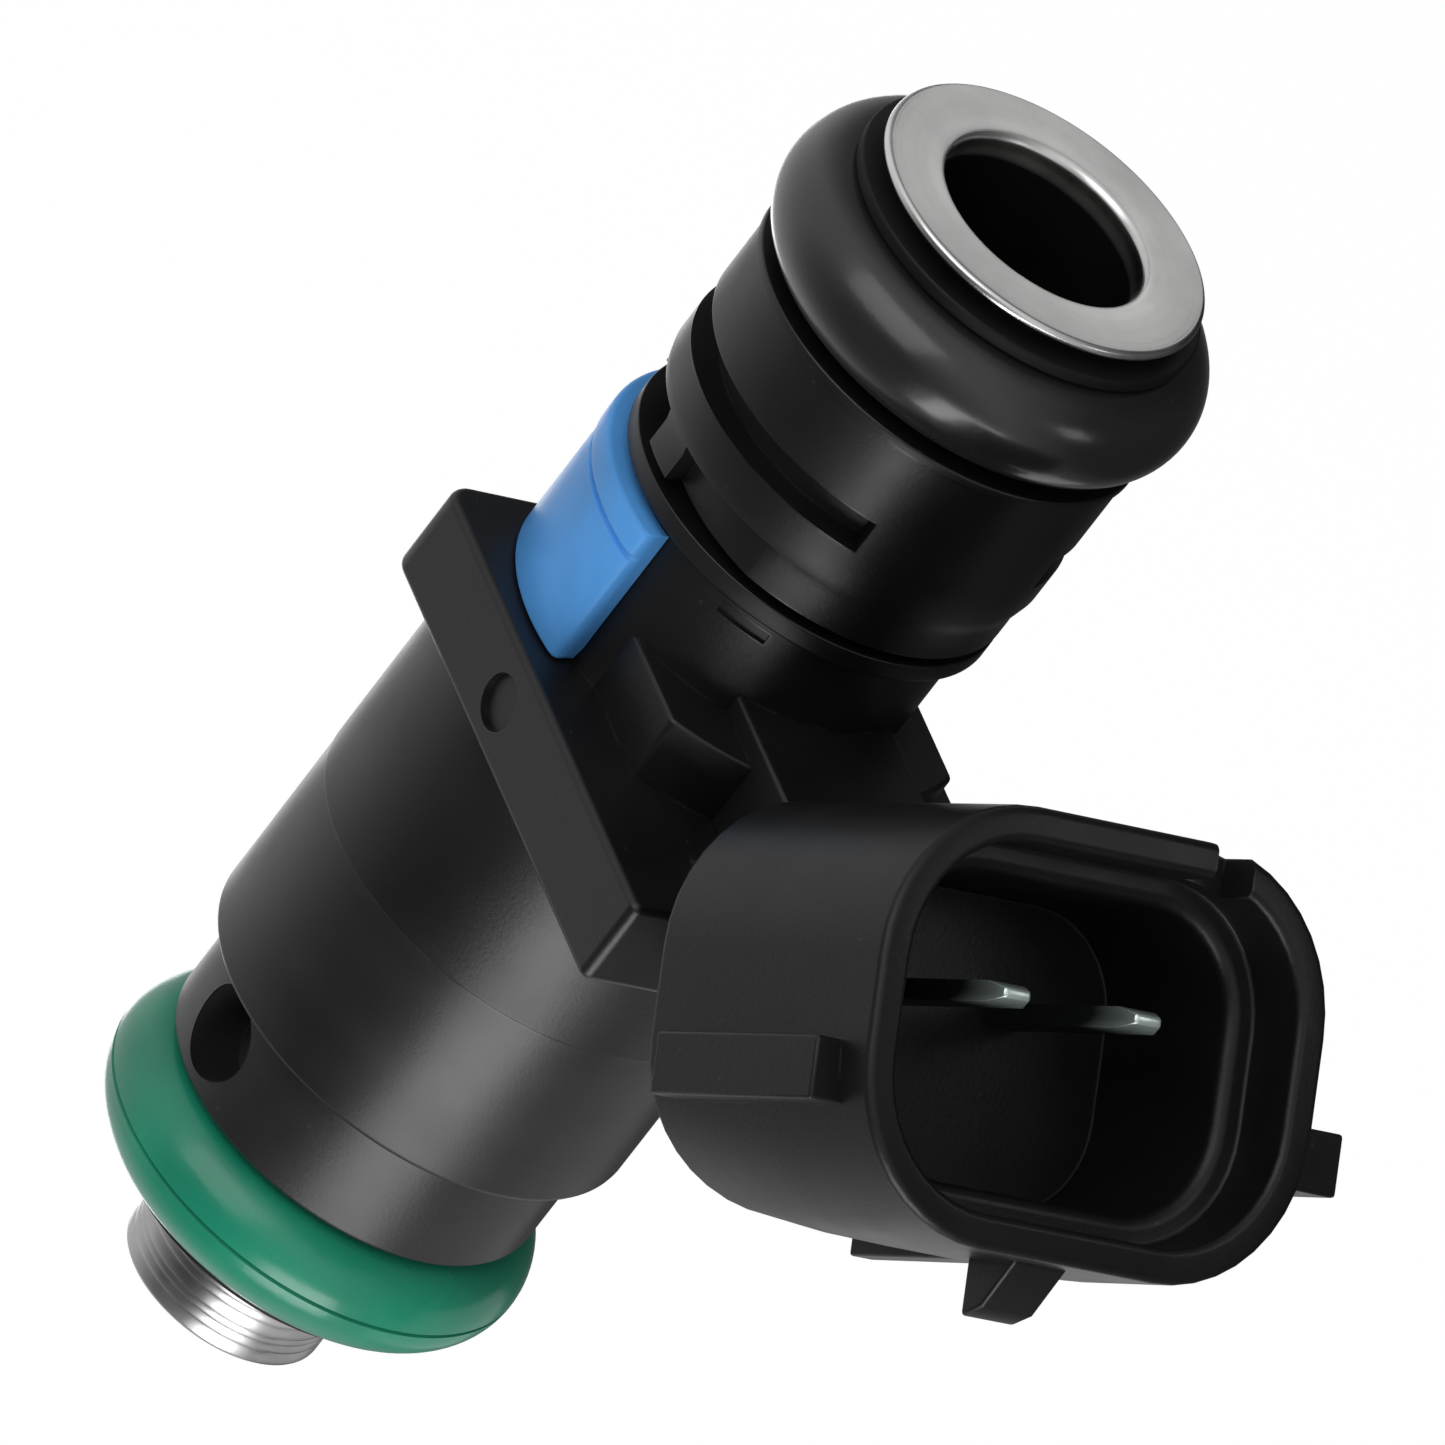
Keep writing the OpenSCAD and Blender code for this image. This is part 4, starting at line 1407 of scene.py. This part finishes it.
@dataclass
class NeckBody(SubAssembly):
    """The overmoulded neck with its skirt, flange plate, key pad, web and arm.

    Attributes:
        skirt_r: outer radius of the skirt.
        skirt_bore_r: inner radius of the skirt.
        skirt_z: height of the skirt's lower edge.
        flange_z: height of the plate's underside.
        flange_t: thickness of the plate.
        flange_w: width of the plate along Y.
        flange_x: X of the plate's back and front.
        flange_round: radius of the plate's wide and tight corners.
        plate_edge: rounding of the plate's edges.
        overlap: how far one part of the moulding reaches into the next.
        key_r: radius of the key pad.
        key_w: width of the key pad.
        key_top_z: height of the key pad's top.
        key_edge: rounding of the key pad's edges.
        neck_r: radius of the neck.
        neck_bore_r: radius of its bore.
        shoulder_r: radius of the shoulder under the sleeve.
        shoulder_z: height where the shoulder starts.
        shoulder_h: height of the slope to its full radius.
        top_z: height of the neck's top.
        web_x: X where the web starts.
        web_w: width of the web.
        web_top_z: height of the web's top.
        web_edge: rounding of the web's top edges.
        arm_w: width of the arm.
        arm_top_z: height of the arm's top.
        arm_edge: rounding of the arm's edges.
        arm_foot: how far the arm's foot reaches back over the plate, below and above.
        far_x: X past the connector's back, where the web and the arm are cut off.
        socket_grip: how far the web and the arm reach into the connector's back.
        mark: X, Z and radius of the mould mark.
        mark_depth: depth of the mark.
        nick: first angle, sweep, lower and upper height of the nick in the neck.
        nick_depth: depth of the nick.
        socket: the connector that the web and the arm carry.
    """

    skirt_r: float = 7.36
    skirt_bore_r: float = 6.88
    skirt_z: float = 12.3
    flange_z: float = 19.0
    flange_t: float = 3.15
    flange_w: float = 15.2
    flange_x: tuple[float, float] = (-5.6, 12.1)
    flange_round: tuple[float, float] = (0.9, 0.35)
    plate_edge: float = 0.26
    overlap: float = 0.5
    key_r: float = 8.0
    key_w: float = 10.6
    key_top_z: float = 24.44
    key_edge: float = 0.15
    neck_r: float = 5.85
    neck_bore_r: float = 3.55
    shoulder_r: float = 6.4
    shoulder_z: float = 27.65
    shoulder_h: float = 0.3
    top_z: float = 28.58
    web_x: float = 4.5
    web_w: float = 5.8
    web_top_z: float = 25.15
    web_edge: float = 0.18
    arm_w: float = 9.0
    arm_top_z: float = 24.0
    arm_edge: float = 0.2
    arm_foot: tuple[float, float] = (1.0, 3.0)
    far_x: float = 30.0
    socket_grip: float = 0.4
    mark: tuple[float, float, float] = (2.08, 20.51, 0.9)
    mark_depth: float = 0.22
    nick: tuple[float, float, float, float] = (-50.0, 17.0, 27.05, 27.45)
    nick_depth: float = 0.14
    socket: Socket = field(default_factory=Socket)

    def against_socket(self, stock: Stock) -> Stock:
        """Trims a stock just inside the connector's back face.

        Args:
            stock: the web or the arm.

        Returns:
            The trimmed stock.
        """
        out = towards(0, self.socket.tilt)
        back = Vector(self.socket.mouth) - out * (self.socket.length - self.socket_grip)
        return stock.slice(back, out)

    def plate(self) -> Stock:
        """Shapes the flange plate with its round mould mark.

        Returns:
            The plate.
        """
        back, front = self.flange_x
        half = self.flange_w / 2
        wide, tight = self.flange_round
        plate = Stock.prism([(back, -half, wide), (front, -half, tight), (front, half, tight),
                             (back, half, wide)], self.flange_t)
        plate.move((0, 0, self.flange_z))
        plate.soften(self.plate_edge, None, 4)
        x, z, r = self.mark
        sink = Stock.rod(r, -self.mark_depth, self.overlap, 48).lay().move((x, -half, z))
        return plate.cut(sink)

    def build(self) -> None:
        """Shapes each part of the moulding and joins them in one piece."""
        top = self.flange_z + self.flange_t
        low = self.flange_z + self.overlap
        body = Stock.lathe([
            (self.skirt_bore_r, self.skirt_z, 0), (self.skirt_r, self.skirt_z, 0.03),
            (self.skirt_r, low, 0), (self.skirt_bore_r, low, 0),
        ])
        body.add(self.plate())
        pad = Stock.rod(self.key_r, top - self.overlap, self.key_top_z, STEPS)
        for point, normal in (((0, self.key_w / 2, 0), (0, 1, 0)),
                              ((0, -self.key_w / 2, 0), (0, -1, 0)), ((0, 0, 0), (-1, 0, 0))):
            pad.slice(point, normal)
        pad.soften(self.key_edge, lambda p: p.z > top and p.x > 0.1, 3)
        body.add(pad)
        foot = self.flange_z + 0.1
        neck = Stock.lathe([
            (self.neck_bore_r, foot, 0), (self.neck_r, foot, 0), (self.neck_r, self.shoulder_z, 0),
            (self.shoulder_r, self.shoulder_z + self.shoulder_h, 0.05),
            (self.shoulder_r, self.top_z, 0.05), (self.neck_bore_r, self.top_z, 0),
        ])
        start, sweep, nick_low, nick_high = self.nick
        deep = self.neck_r - self.nick_depth
        body.add(neck.cut(Stock.lathe([
            (deep, nick_low, 0), (self.key_r, nick_low, 0),
            (self.key_r, nick_high, 0), (deep, nick_high, 0),
        ], start, sweep, 24)))
        web = Stock.block((self.web_x, -self.web_w / 2, self.flange_z + 1),
                          (self.far_x, self.web_w / 2, self.web_top_z))
        web.soften(self.web_edge, lambda p: p.z > self.web_top_z - 0.1, 3)
        body.add(self.against_socket(web))
        front = self.flange_x[1]
        foot_low, foot_high = self.arm_foot
        arm = Stock.prism([
            (front - foot_low, low, 0), (self.far_x, low, 0), (self.far_x, self.arm_top_z, 0),
            (front, self.arm_top_z, 0), (front - foot_high, top - 0.1, 0),
        ], self.arm_w).lay().move((0, self.arm_w / 2, 0))
        arm.soften(self.arm_edge, None, 3)
        body.add(self.against_socket(arm))
        self.piece("neck_moulding", body, BLACK_PLASTIC, ("neck_body",))


@dataclass
class LowerEnd(SubAssembly):
    """The solenoid's can, the collar, the sealing ring, a dark washer under it that stands in for
    the shadow gap, and the steel body.

    Attributes:
        housing_r: outer radius of the can.
        housing_z: height of the can's lower edge.
        housing_seat_r: radius of the can inside the skirt.
        housing_bore_r: radius of the can's bore.
        skirt_z: height where the skirt starts.
        housing_top_z: height of the can's top.
        shoulder_r: radius of the steel body's shoulder.
        floor_z: height of the can's floor.
        collar_r: radius of the collar.
        collar_z: height of the collar's lower edge.
        gap: how far the collar stays clear of the can.
        hole_r: radius of the collar's cross hole.
        hole_z: height of the hole's middle.
        ring_out_r: outer radius of the sealing ring.
        ring_in_r: inner radius of the sealing ring.
        ring_half_z: half the sealing ring's height.
        ring_seam: where its mould line runs, in degrees round the section.
        ring_seam_depth: depth of the mould line.
        shadow_washer_r: radius of the dark washer under the ring, which stands in for the shadow
            gap.
        shadow_washer_t: thickness of that washer.
        tip_r: radius of the tip.
        tip_z: height of the tip's end.
        relief: radius, lower and upper height of the relief groove.
        lines_z: heights of the fine grooves on the tip.
        line_h: half the height of a fine groove.
        line_depth: depth of a fine groove.
        neck_r: radius of the steel body inside the coil.
        top_z: height of the steel body's top.
        bore_r: radius of the steel body's bore.
        low_bore_r: radius of the bore's lower part.
        low_bore_z: height where the lower part starts.
        plate_r: radius of the seat for the spray plate.
        plate_z: height of that seat.
    """

    housing_r: float = 7.33
    housing_z: float = 5.95
    housing_seat_r: float = 6.88
    housing_bore_r: float = 6.33
    skirt_z: float = 12.3
    housing_top_z: float = 18.7
    shoulder_r: float = 4.6
    floor_z: float = 7.2
    collar_r: float = 6.45
    collar_z: float = 2.1
    gap: float = 0.01
    hole_r: float = 1.5
    hole_z: float = 4.05
    ring_out_r: float = 7.3
    ring_in_r: float = 3.45
    ring_half_z: float = 1.95
    ring_seam: float = 0.0
    ring_seam_depth: float = 0.11
    shadow_washer_r: float = 5.68
    shadow_washer_t: float = 0.3
    tip_r: float = 3.45
    tip_z: float = -5.65
    relief: tuple[float, float, float] = (3.25, -2.3, -1.7)
    lines_z: tuple[float, ...] = (-5.15, -4.8, -4.55, -4.1, -3.8, -3.2, -2.75)
    line_h: float = 0.06
    line_depth: float = 0.018
    neck_r: float = 4.1
    top_z: float = 10.2
    bore_r: float = 3.05
    low_bore_r: float = 2.6
    low_bore_z: float = 3.0
    plate_r: float = 2.9
    plate_z: float = -1.2

    def build(self) -> None:
        """Builds the can, the collar, the ring with the dark washer that stands in for its shadow
        gap, and the steel body.
        """
        self.piece("solenoid_can", Stock.lathe([
            (self.shoulder_r, self.housing_z, 0), (self.housing_r, self.housing_z, 0.25),
            (self.housing_r, self.skirt_z, 0.02), (self.housing_seat_r, self.skirt_z, 0),
            (self.housing_seat_r, self.housing_top_z, 0),
            (self.housing_bore_r, self.housing_top_z, 0),
            (self.housing_bore_r, self.floor_z, 0), (self.shoulder_r, self.floor_z, 0),
        ]), BLACK_HOUSING, ("solenoid_housing",))
        collar = Stock.lathe([
            (self.shoulder_r, self.collar_z, 0), (self.collar_r, self.collar_z, 0.2),
            (self.collar_r, self.housing_z - self.gap, 0.05),
            (self.shoulder_r, self.housing_z - self.gap, 0),
        ])
        collar.cut(Stock.rod(self.hole_r, -10, 10, 64).lay().move((0, 0, self.hole_z)))
        self.piece("collar_moulding", collar, BLACK_COLLAR, ("lower_collar",))
        self.piece("lower_sealing_ring", Stock.ring(
            (self.ring_in_r + self.ring_out_r) / 2, 0, (self.ring_out_r - self.ring_in_r) / 2,
            self.ring_half_z, self.ring_seam, self.ring_seam_depth),
            GREEN_RUBBER, ("lower_oring",))
        # painted shade: a dark washer with no part of its own lies under the sealing ring, where
        # the shadow gap is
        under = -self.ring_half_z
        self.piece("shadow_gap_washer", Stock.lathe([
            (self.tip_r, under - self.shadow_washer_t, 0.05), (self.shadow_washer_r, under - self.shadow_washer_t, 0.08),
            (self.shadow_washer_r, under, 0.08), (self.tip_r, under, 0.05),
        ]), BLACK_BACKUP, ())
        grooves = []
        for z in self.lines_z:
            grooves += [(self.tip_r, z, 0), (self.tip_r - self.line_depth, z + self.line_h, 0),
                        (self.tip_r, z + 2 * self.line_h, 0)]
        relief_r, relief_low, relief_top = self.relief
        self.piece("nozzle_body", Stock.lathe([
            (self.plate_r, self.tip_z, 0.08), (self.tip_r, self.tip_z, 0.15), *grooves,
            (self.tip_r, relief_low, 0), (relief_r, relief_low, 0), (relief_r, relief_top, 0),
            (self.tip_r, relief_top, 0),
            (self.tip_r, self.collar_z, 0), (self.shoulder_r, self.collar_z, 0.1),
            (self.shoulder_r, self.floor_z, 0), (self.neck_r, self.floor_z, 0),
            (self.neck_r, self.top_z, 0), (self.bore_r, self.top_z, 0),
            (self.bore_r, self.low_bore_z, 0), (self.low_bore_r, self.low_bore_z, 0),
            (self.low_bore_r, self.plate_z, 0), (self.plate_r, self.plate_z, 0),
        ]), TIP_STEEL, ("valve_body",))


@dataclass
class ReturnSpring(SubAssembly):
    """The wound return spring.

    Attributes:
        wire_r: radius of the wire.
        coil_r: radius of the coil at the wire's middle.
        turns: how many turns it has, with its closed end coils.
        steps: how many steps a turn has.
        lift: the needle's lift; not used.
    """

    wire_r: float = 0.17
    coil_r: float = 1.22
    turns: int = 9
    steps: int = 28
    lift: float = 0.1

    def climb(self, turn: float) -> float:
        """Finds how far the wire has climbed.

        Args:
            turn: how many turns it has made.

        Returns:
            The climb, in pitches of the open coils.
        """
        if turn > self.turns / 2:
            return self.turns - 1 - self.climb(self.turns - turn)
        return turn**2 / 2 if turn < 1 else turn - 0.5

    def build(self) -> None:
        """Winds the wire."""
        low, high = (corner[2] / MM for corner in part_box("return_spring"))
        start, rise = low + self.wire_r, high - low - 2 * self.wire_r
        wound = Stock()
        bm = wound.bm
        bmesh.ops.create_circle(bm, cap_ends=True, segments=12, radius=self.wire_r)
        bmesh.ops.rotate(bm, verts=bm.verts[:], cent=(0, 0, 0),
                         matrix=Matrix.Rotation(math.pi / 2, 3, "X"))
        bmesh.ops.translate(bm, verts=bm.verts[:], vec=(self.coil_r, 0, 0))
        bmesh.ops.spin(bm, geom=bm.verts[:] + bm.edges[:] + bm.faces[:], cent=(0, 0, 0),
                       axis=Z_AXIS, dvec=(0, 0, 1 / self.steps), angle=math.tau * self.turns,
                       steps=self.turns * self.steps, use_merge=False, use_duplicate=False)
        for vert in bm.verts:
            part = (math.atan2(vert.co.y, vert.co.x) / math.tau) % 1
            turn = round(vert.co.z - part) + part
            height = start + rise * self.climb(turn) / (self.turns - 1)
            vert.co.z += height - turn
        wound.clean()
        spring = self.piece("wound_spring", wound, SPRING_STEEL, ("return_spring",))
        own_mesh(spring)


# ---------------------------------------------------------------- studio


@dataclass(frozen=True)
class Lamp:
    """A soft rectangular lamp that looks at a point of the injector.

    Attributes:
        name: its name.
        compass: its direction from that point, in degrees round Z from X.
        rise: its elevation from that point, in degrees.
        distance: how far away it is.
        size: its width and height.
        level: how bright its face is, where 1 is white.
        aim: the point that it looks at.
    """

    name: str
    compass: float
    rise: float
    distance: float
    size: tuple[float, float]
    level: float
    aim: Point = (6.0, 0.0, 18.0)

    def build(self) -> None:
        """Hangs the lamp."""
        data = bpy.data.lights.new(self.name, "AREA")
        data.shape = "RECTANGLE"
        data.size, data.size_y = (side * MM for side in self.size)
        data.energy = self.level * math.pi * data.size * data.size_y
        lamp = bpy.data.objects.new(self.name, data)
        bpy.context.scene.collection.objects.link(lamp)
        back = towards(self.compass, self.rise)
        lamp.location = (Vector(self.aim) + back * self.distance) * MM
        lamp.rotation_euler = back.to_track_quat("Z", "Y").to_euler()
        lamp.visible_camera = False


@dataclass(frozen=True)
class DarkZone:
    """A darker part of the room round the injector.

    Attributes:
        compass: direction of its middle, in degrees round Z from X.
        rise: elevation of its middle, in degrees.
        start: cosine of the angle from its middle where it starts.
        full: cosine of the angle within which it is fully dark.
        left: share of the light that is left there.
    """

    compass: float
    rise: float
    start: float
    full: float
    left: float


@dataclass
class Studio:
    """The camera, the lamps, the room's light and the floor.

    Attributes:
        elevation: how far the camera looks down, in degrees.
        azimuth: how far it is turned from the flange plate's face, in degrees.
        roll: how far it is rolled, in degrees.
        distance: how far it is from the injector's origin.
        aim: the point that it looks at, to its right and above the origin.
        lens: its focal length.
        sensor: the width of its sensor.
        clip: the nearest and furthest distance that it sees, in metres.
        room: light from all round, where 1 is white.
        zones: the darker parts of the room.
        lamps: the lamps.
        floor_z: height of the floor.
        floor_half: half the floor's size, in metres.
        floor_tone: the floor's own colour, which shows the shadow.
        floor_glow: how bright the floor is by itself.
    """

    elevation: float = 31.76
    azimuth: float = 46.3
    roll: float = 37.77
    distance: float = 956.0
    aim: tuple[float, float] = (12.13, 13.09)
    lens: float = 790.3
    sensor: float = 36.0
    clip: tuple[float, float] = (0.01, 20.0)
    room: float = 0.72
    zones: tuple[DarkZone, ...] = (
        DarkZone(-68, -24, 0.35, 0.9, 0.14),
        DarkZone(75, 5, 0.2, 0.75, 0.12),
        DarkZone(112, -15, 0.55, 0.9, 0.35),
        DarkZone(136, 40, 0.6, 0.92, 0.22),
    )
    lamps: tuple[Lamp, ...] = (
        Lamp("low_key", -16, -32, 300, (190, 220), 4.9),
        Lamp("front_fill", -78, 40, 500, (400, 400), 1.4),
        Lamp("back_edge", 152, -32, 300, (90, 200), 2.1),
        Lamp("low_card", 58, -32, 30, (26, 26), 0.5, (0.0, 0.0, 8.0)),
        Lamp("inlet_card", 136, 32, 16, (15, 15), 0.46, (0.0, 0.0, 41.2)),
        Lamp("rim_card", 49, 39, 25, (8, 8), 2.0, (18.9, 0.5, 34.0)),
    )
    floor_z: float = -0.35
    floor_half: float = 6.0
    floor_tone: Rgb = (0.4, 0.4, 0.4)
    floor_glow: float = 0.81

    def camera(self) -> None:
        """Places the camera."""
        e, a, w = (math.radians(v) for v in (self.elevation, self.azimuth, self.roll))
        back = Vector((math.sin(a) * math.cos(e), -math.cos(a) * math.cos(e), math.sin(e)))
        right = Vector((math.cos(a), math.sin(a), 0))
        up = back.cross(right)
        side = math.cos(w) * right + math.sin(w) * up
        top = -math.sin(w) * right + math.cos(w) * up
        place = back * self.distance
        target = side * self.aim[0] + top * self.aim[1]
        look = (place - target).normalized()
        side = top.cross(look).normalized()
        top = look.cross(side)
        data = bpy.data.cameras.new("camera")
        data.lens = self.lens
        data.sensor_width = self.sensor
        data.clip_start, data.clip_end = self.clip
        camera = bpy.data.objects.new("camera", data)
        bpy.context.scene.collection.objects.link(camera)
        matrix = Matrix((side, top, look)).transposed().to_4x4()
        matrix.translation = place * MM
        camera.matrix_world = matrix
        bpy.context.scene.camera = camera

    def world(self) -> None:
        """Lights the injector from all round, less from each dark zone."""
        world = bpy.data.worlds.new("studio")
        bpy.context.scene.world = world
        world.use_nodes = True
        tree = world.node_tree
        tree.nodes.clear()
        nodes = Nodes(tree)
        way = nodes.new("ShaderNodeTexCoord").outputs["Generated"]
        level = self.room
        for zone in self.zones:
            middle = towards(zone.compass, zone.rise)
            facing = nodes.new("ShaderNodeVectorMath", {0: way, 1: middle},
                               operation="DOT_PRODUCT").outputs["Value"]
            light = nodes.span(facing, zone.start, zone.full, 1.0, zone.left)
            level = nodes.math("MULTIPLY", level, light)
        room = nodes.new("ShaderNodeBackground", {"Color": level, "Strength": 1.0})
        white = nodes.new("ShaderNodeBackground", {"Color": (1, 1, 1, 1), "Strength": 1.0})
        seen = nodes.new("ShaderNodeLightPath").outputs["Is Camera Ray"]
        mixed = nodes.new("ShaderNodeMixShader", {0: seen, 1: room.outputs[0], 2: white.outputs[0]})
        leave = nodes.new("ShaderNodeOutputWorld")
        tree.links.new(mixed.outputs[0], leave.inputs[0])

    def floor(self) -> None:
        """Lays the plain pale floor, which shows the injector's shadow."""
        bm = bmesh.new()
        bmesh.ops.create_grid(bm, x_segments=1, y_segments=1, size=self.floor_half)
        bmesh.ops.translate(bm, vec=(0, 0, self.floor_z), verts=bm.verts[:])
        mesh = bpy.data.meshes.new("floor")
        bm.to_mesh(mesh)
        bm.free()
        floor = bpy.data.objects.new("floor", mesh)
        bpy.context.scene.collection.objects.link(floor)
        pale = bpy.data.materials.new("pale_floor")
        pale.use_nodes = True
        tree = pale.node_tree
        tree.nodes.clear()
        nodes = Nodes(tree)
        matt = nodes.new("ShaderNodeBsdfDiffuse", {"Color": (*self.floor_tone, 1)})
        glow = nodes.new("ShaderNodeEmission",
                         {"Color": (1, 1, 1, 1), "Strength": self.floor_glow})
        both = nodes.new("ShaderNodeAddShader", {0: matt.outputs[0], 1: glow.outputs[0]})
        leave = nodes.new("ShaderNodeOutputMaterial")
        tree.links.new(both.outputs[0], leave.inputs[0])
        mesh.materials.append(pale)
        floor.visible_glossy = False
        floor.visible_diffuse = False
        floor.visible_shadow = False

    def build(self) -> None:
        """Sets up the whole studio."""
        self.camera()
        for lamp in self.lamps:
            lamp.build()
        self.world()
        self.floor()
        bpy.context.scene.view_settings.view_transform = "Standard"


def dress_nodes(frame: dict) -> None:
    """Gives every CAD node that still shows the finish of its slot.
    """
    for part in frame["record"]["subparts"]:
        node = frame["nodes"][part["node"]]
        if node.hide_render:
            continue
        node.data.materials.clear()
        node.data.materials.append(FINISHES[part["material_slot"]].material())
        LOG.info("%s: CAD node in %s", part["node"], part["material_slot"])


def main() -> None:
    """Builds the studio and each sub-assembly in order."""
    logging.basicConfig(level=logging.INFO, format="%(name)s: %(message)s")
    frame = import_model()
    Studio().build()
    for assembly in (InletEnd(), UpperSleeve(), BlueBand(), Socket(), NeckBody(), LowerEnd(),
                     ReturnSpring()):
        assembly.build()
    dress_nodes(frame)


if __name__ == "__main__":
    main()
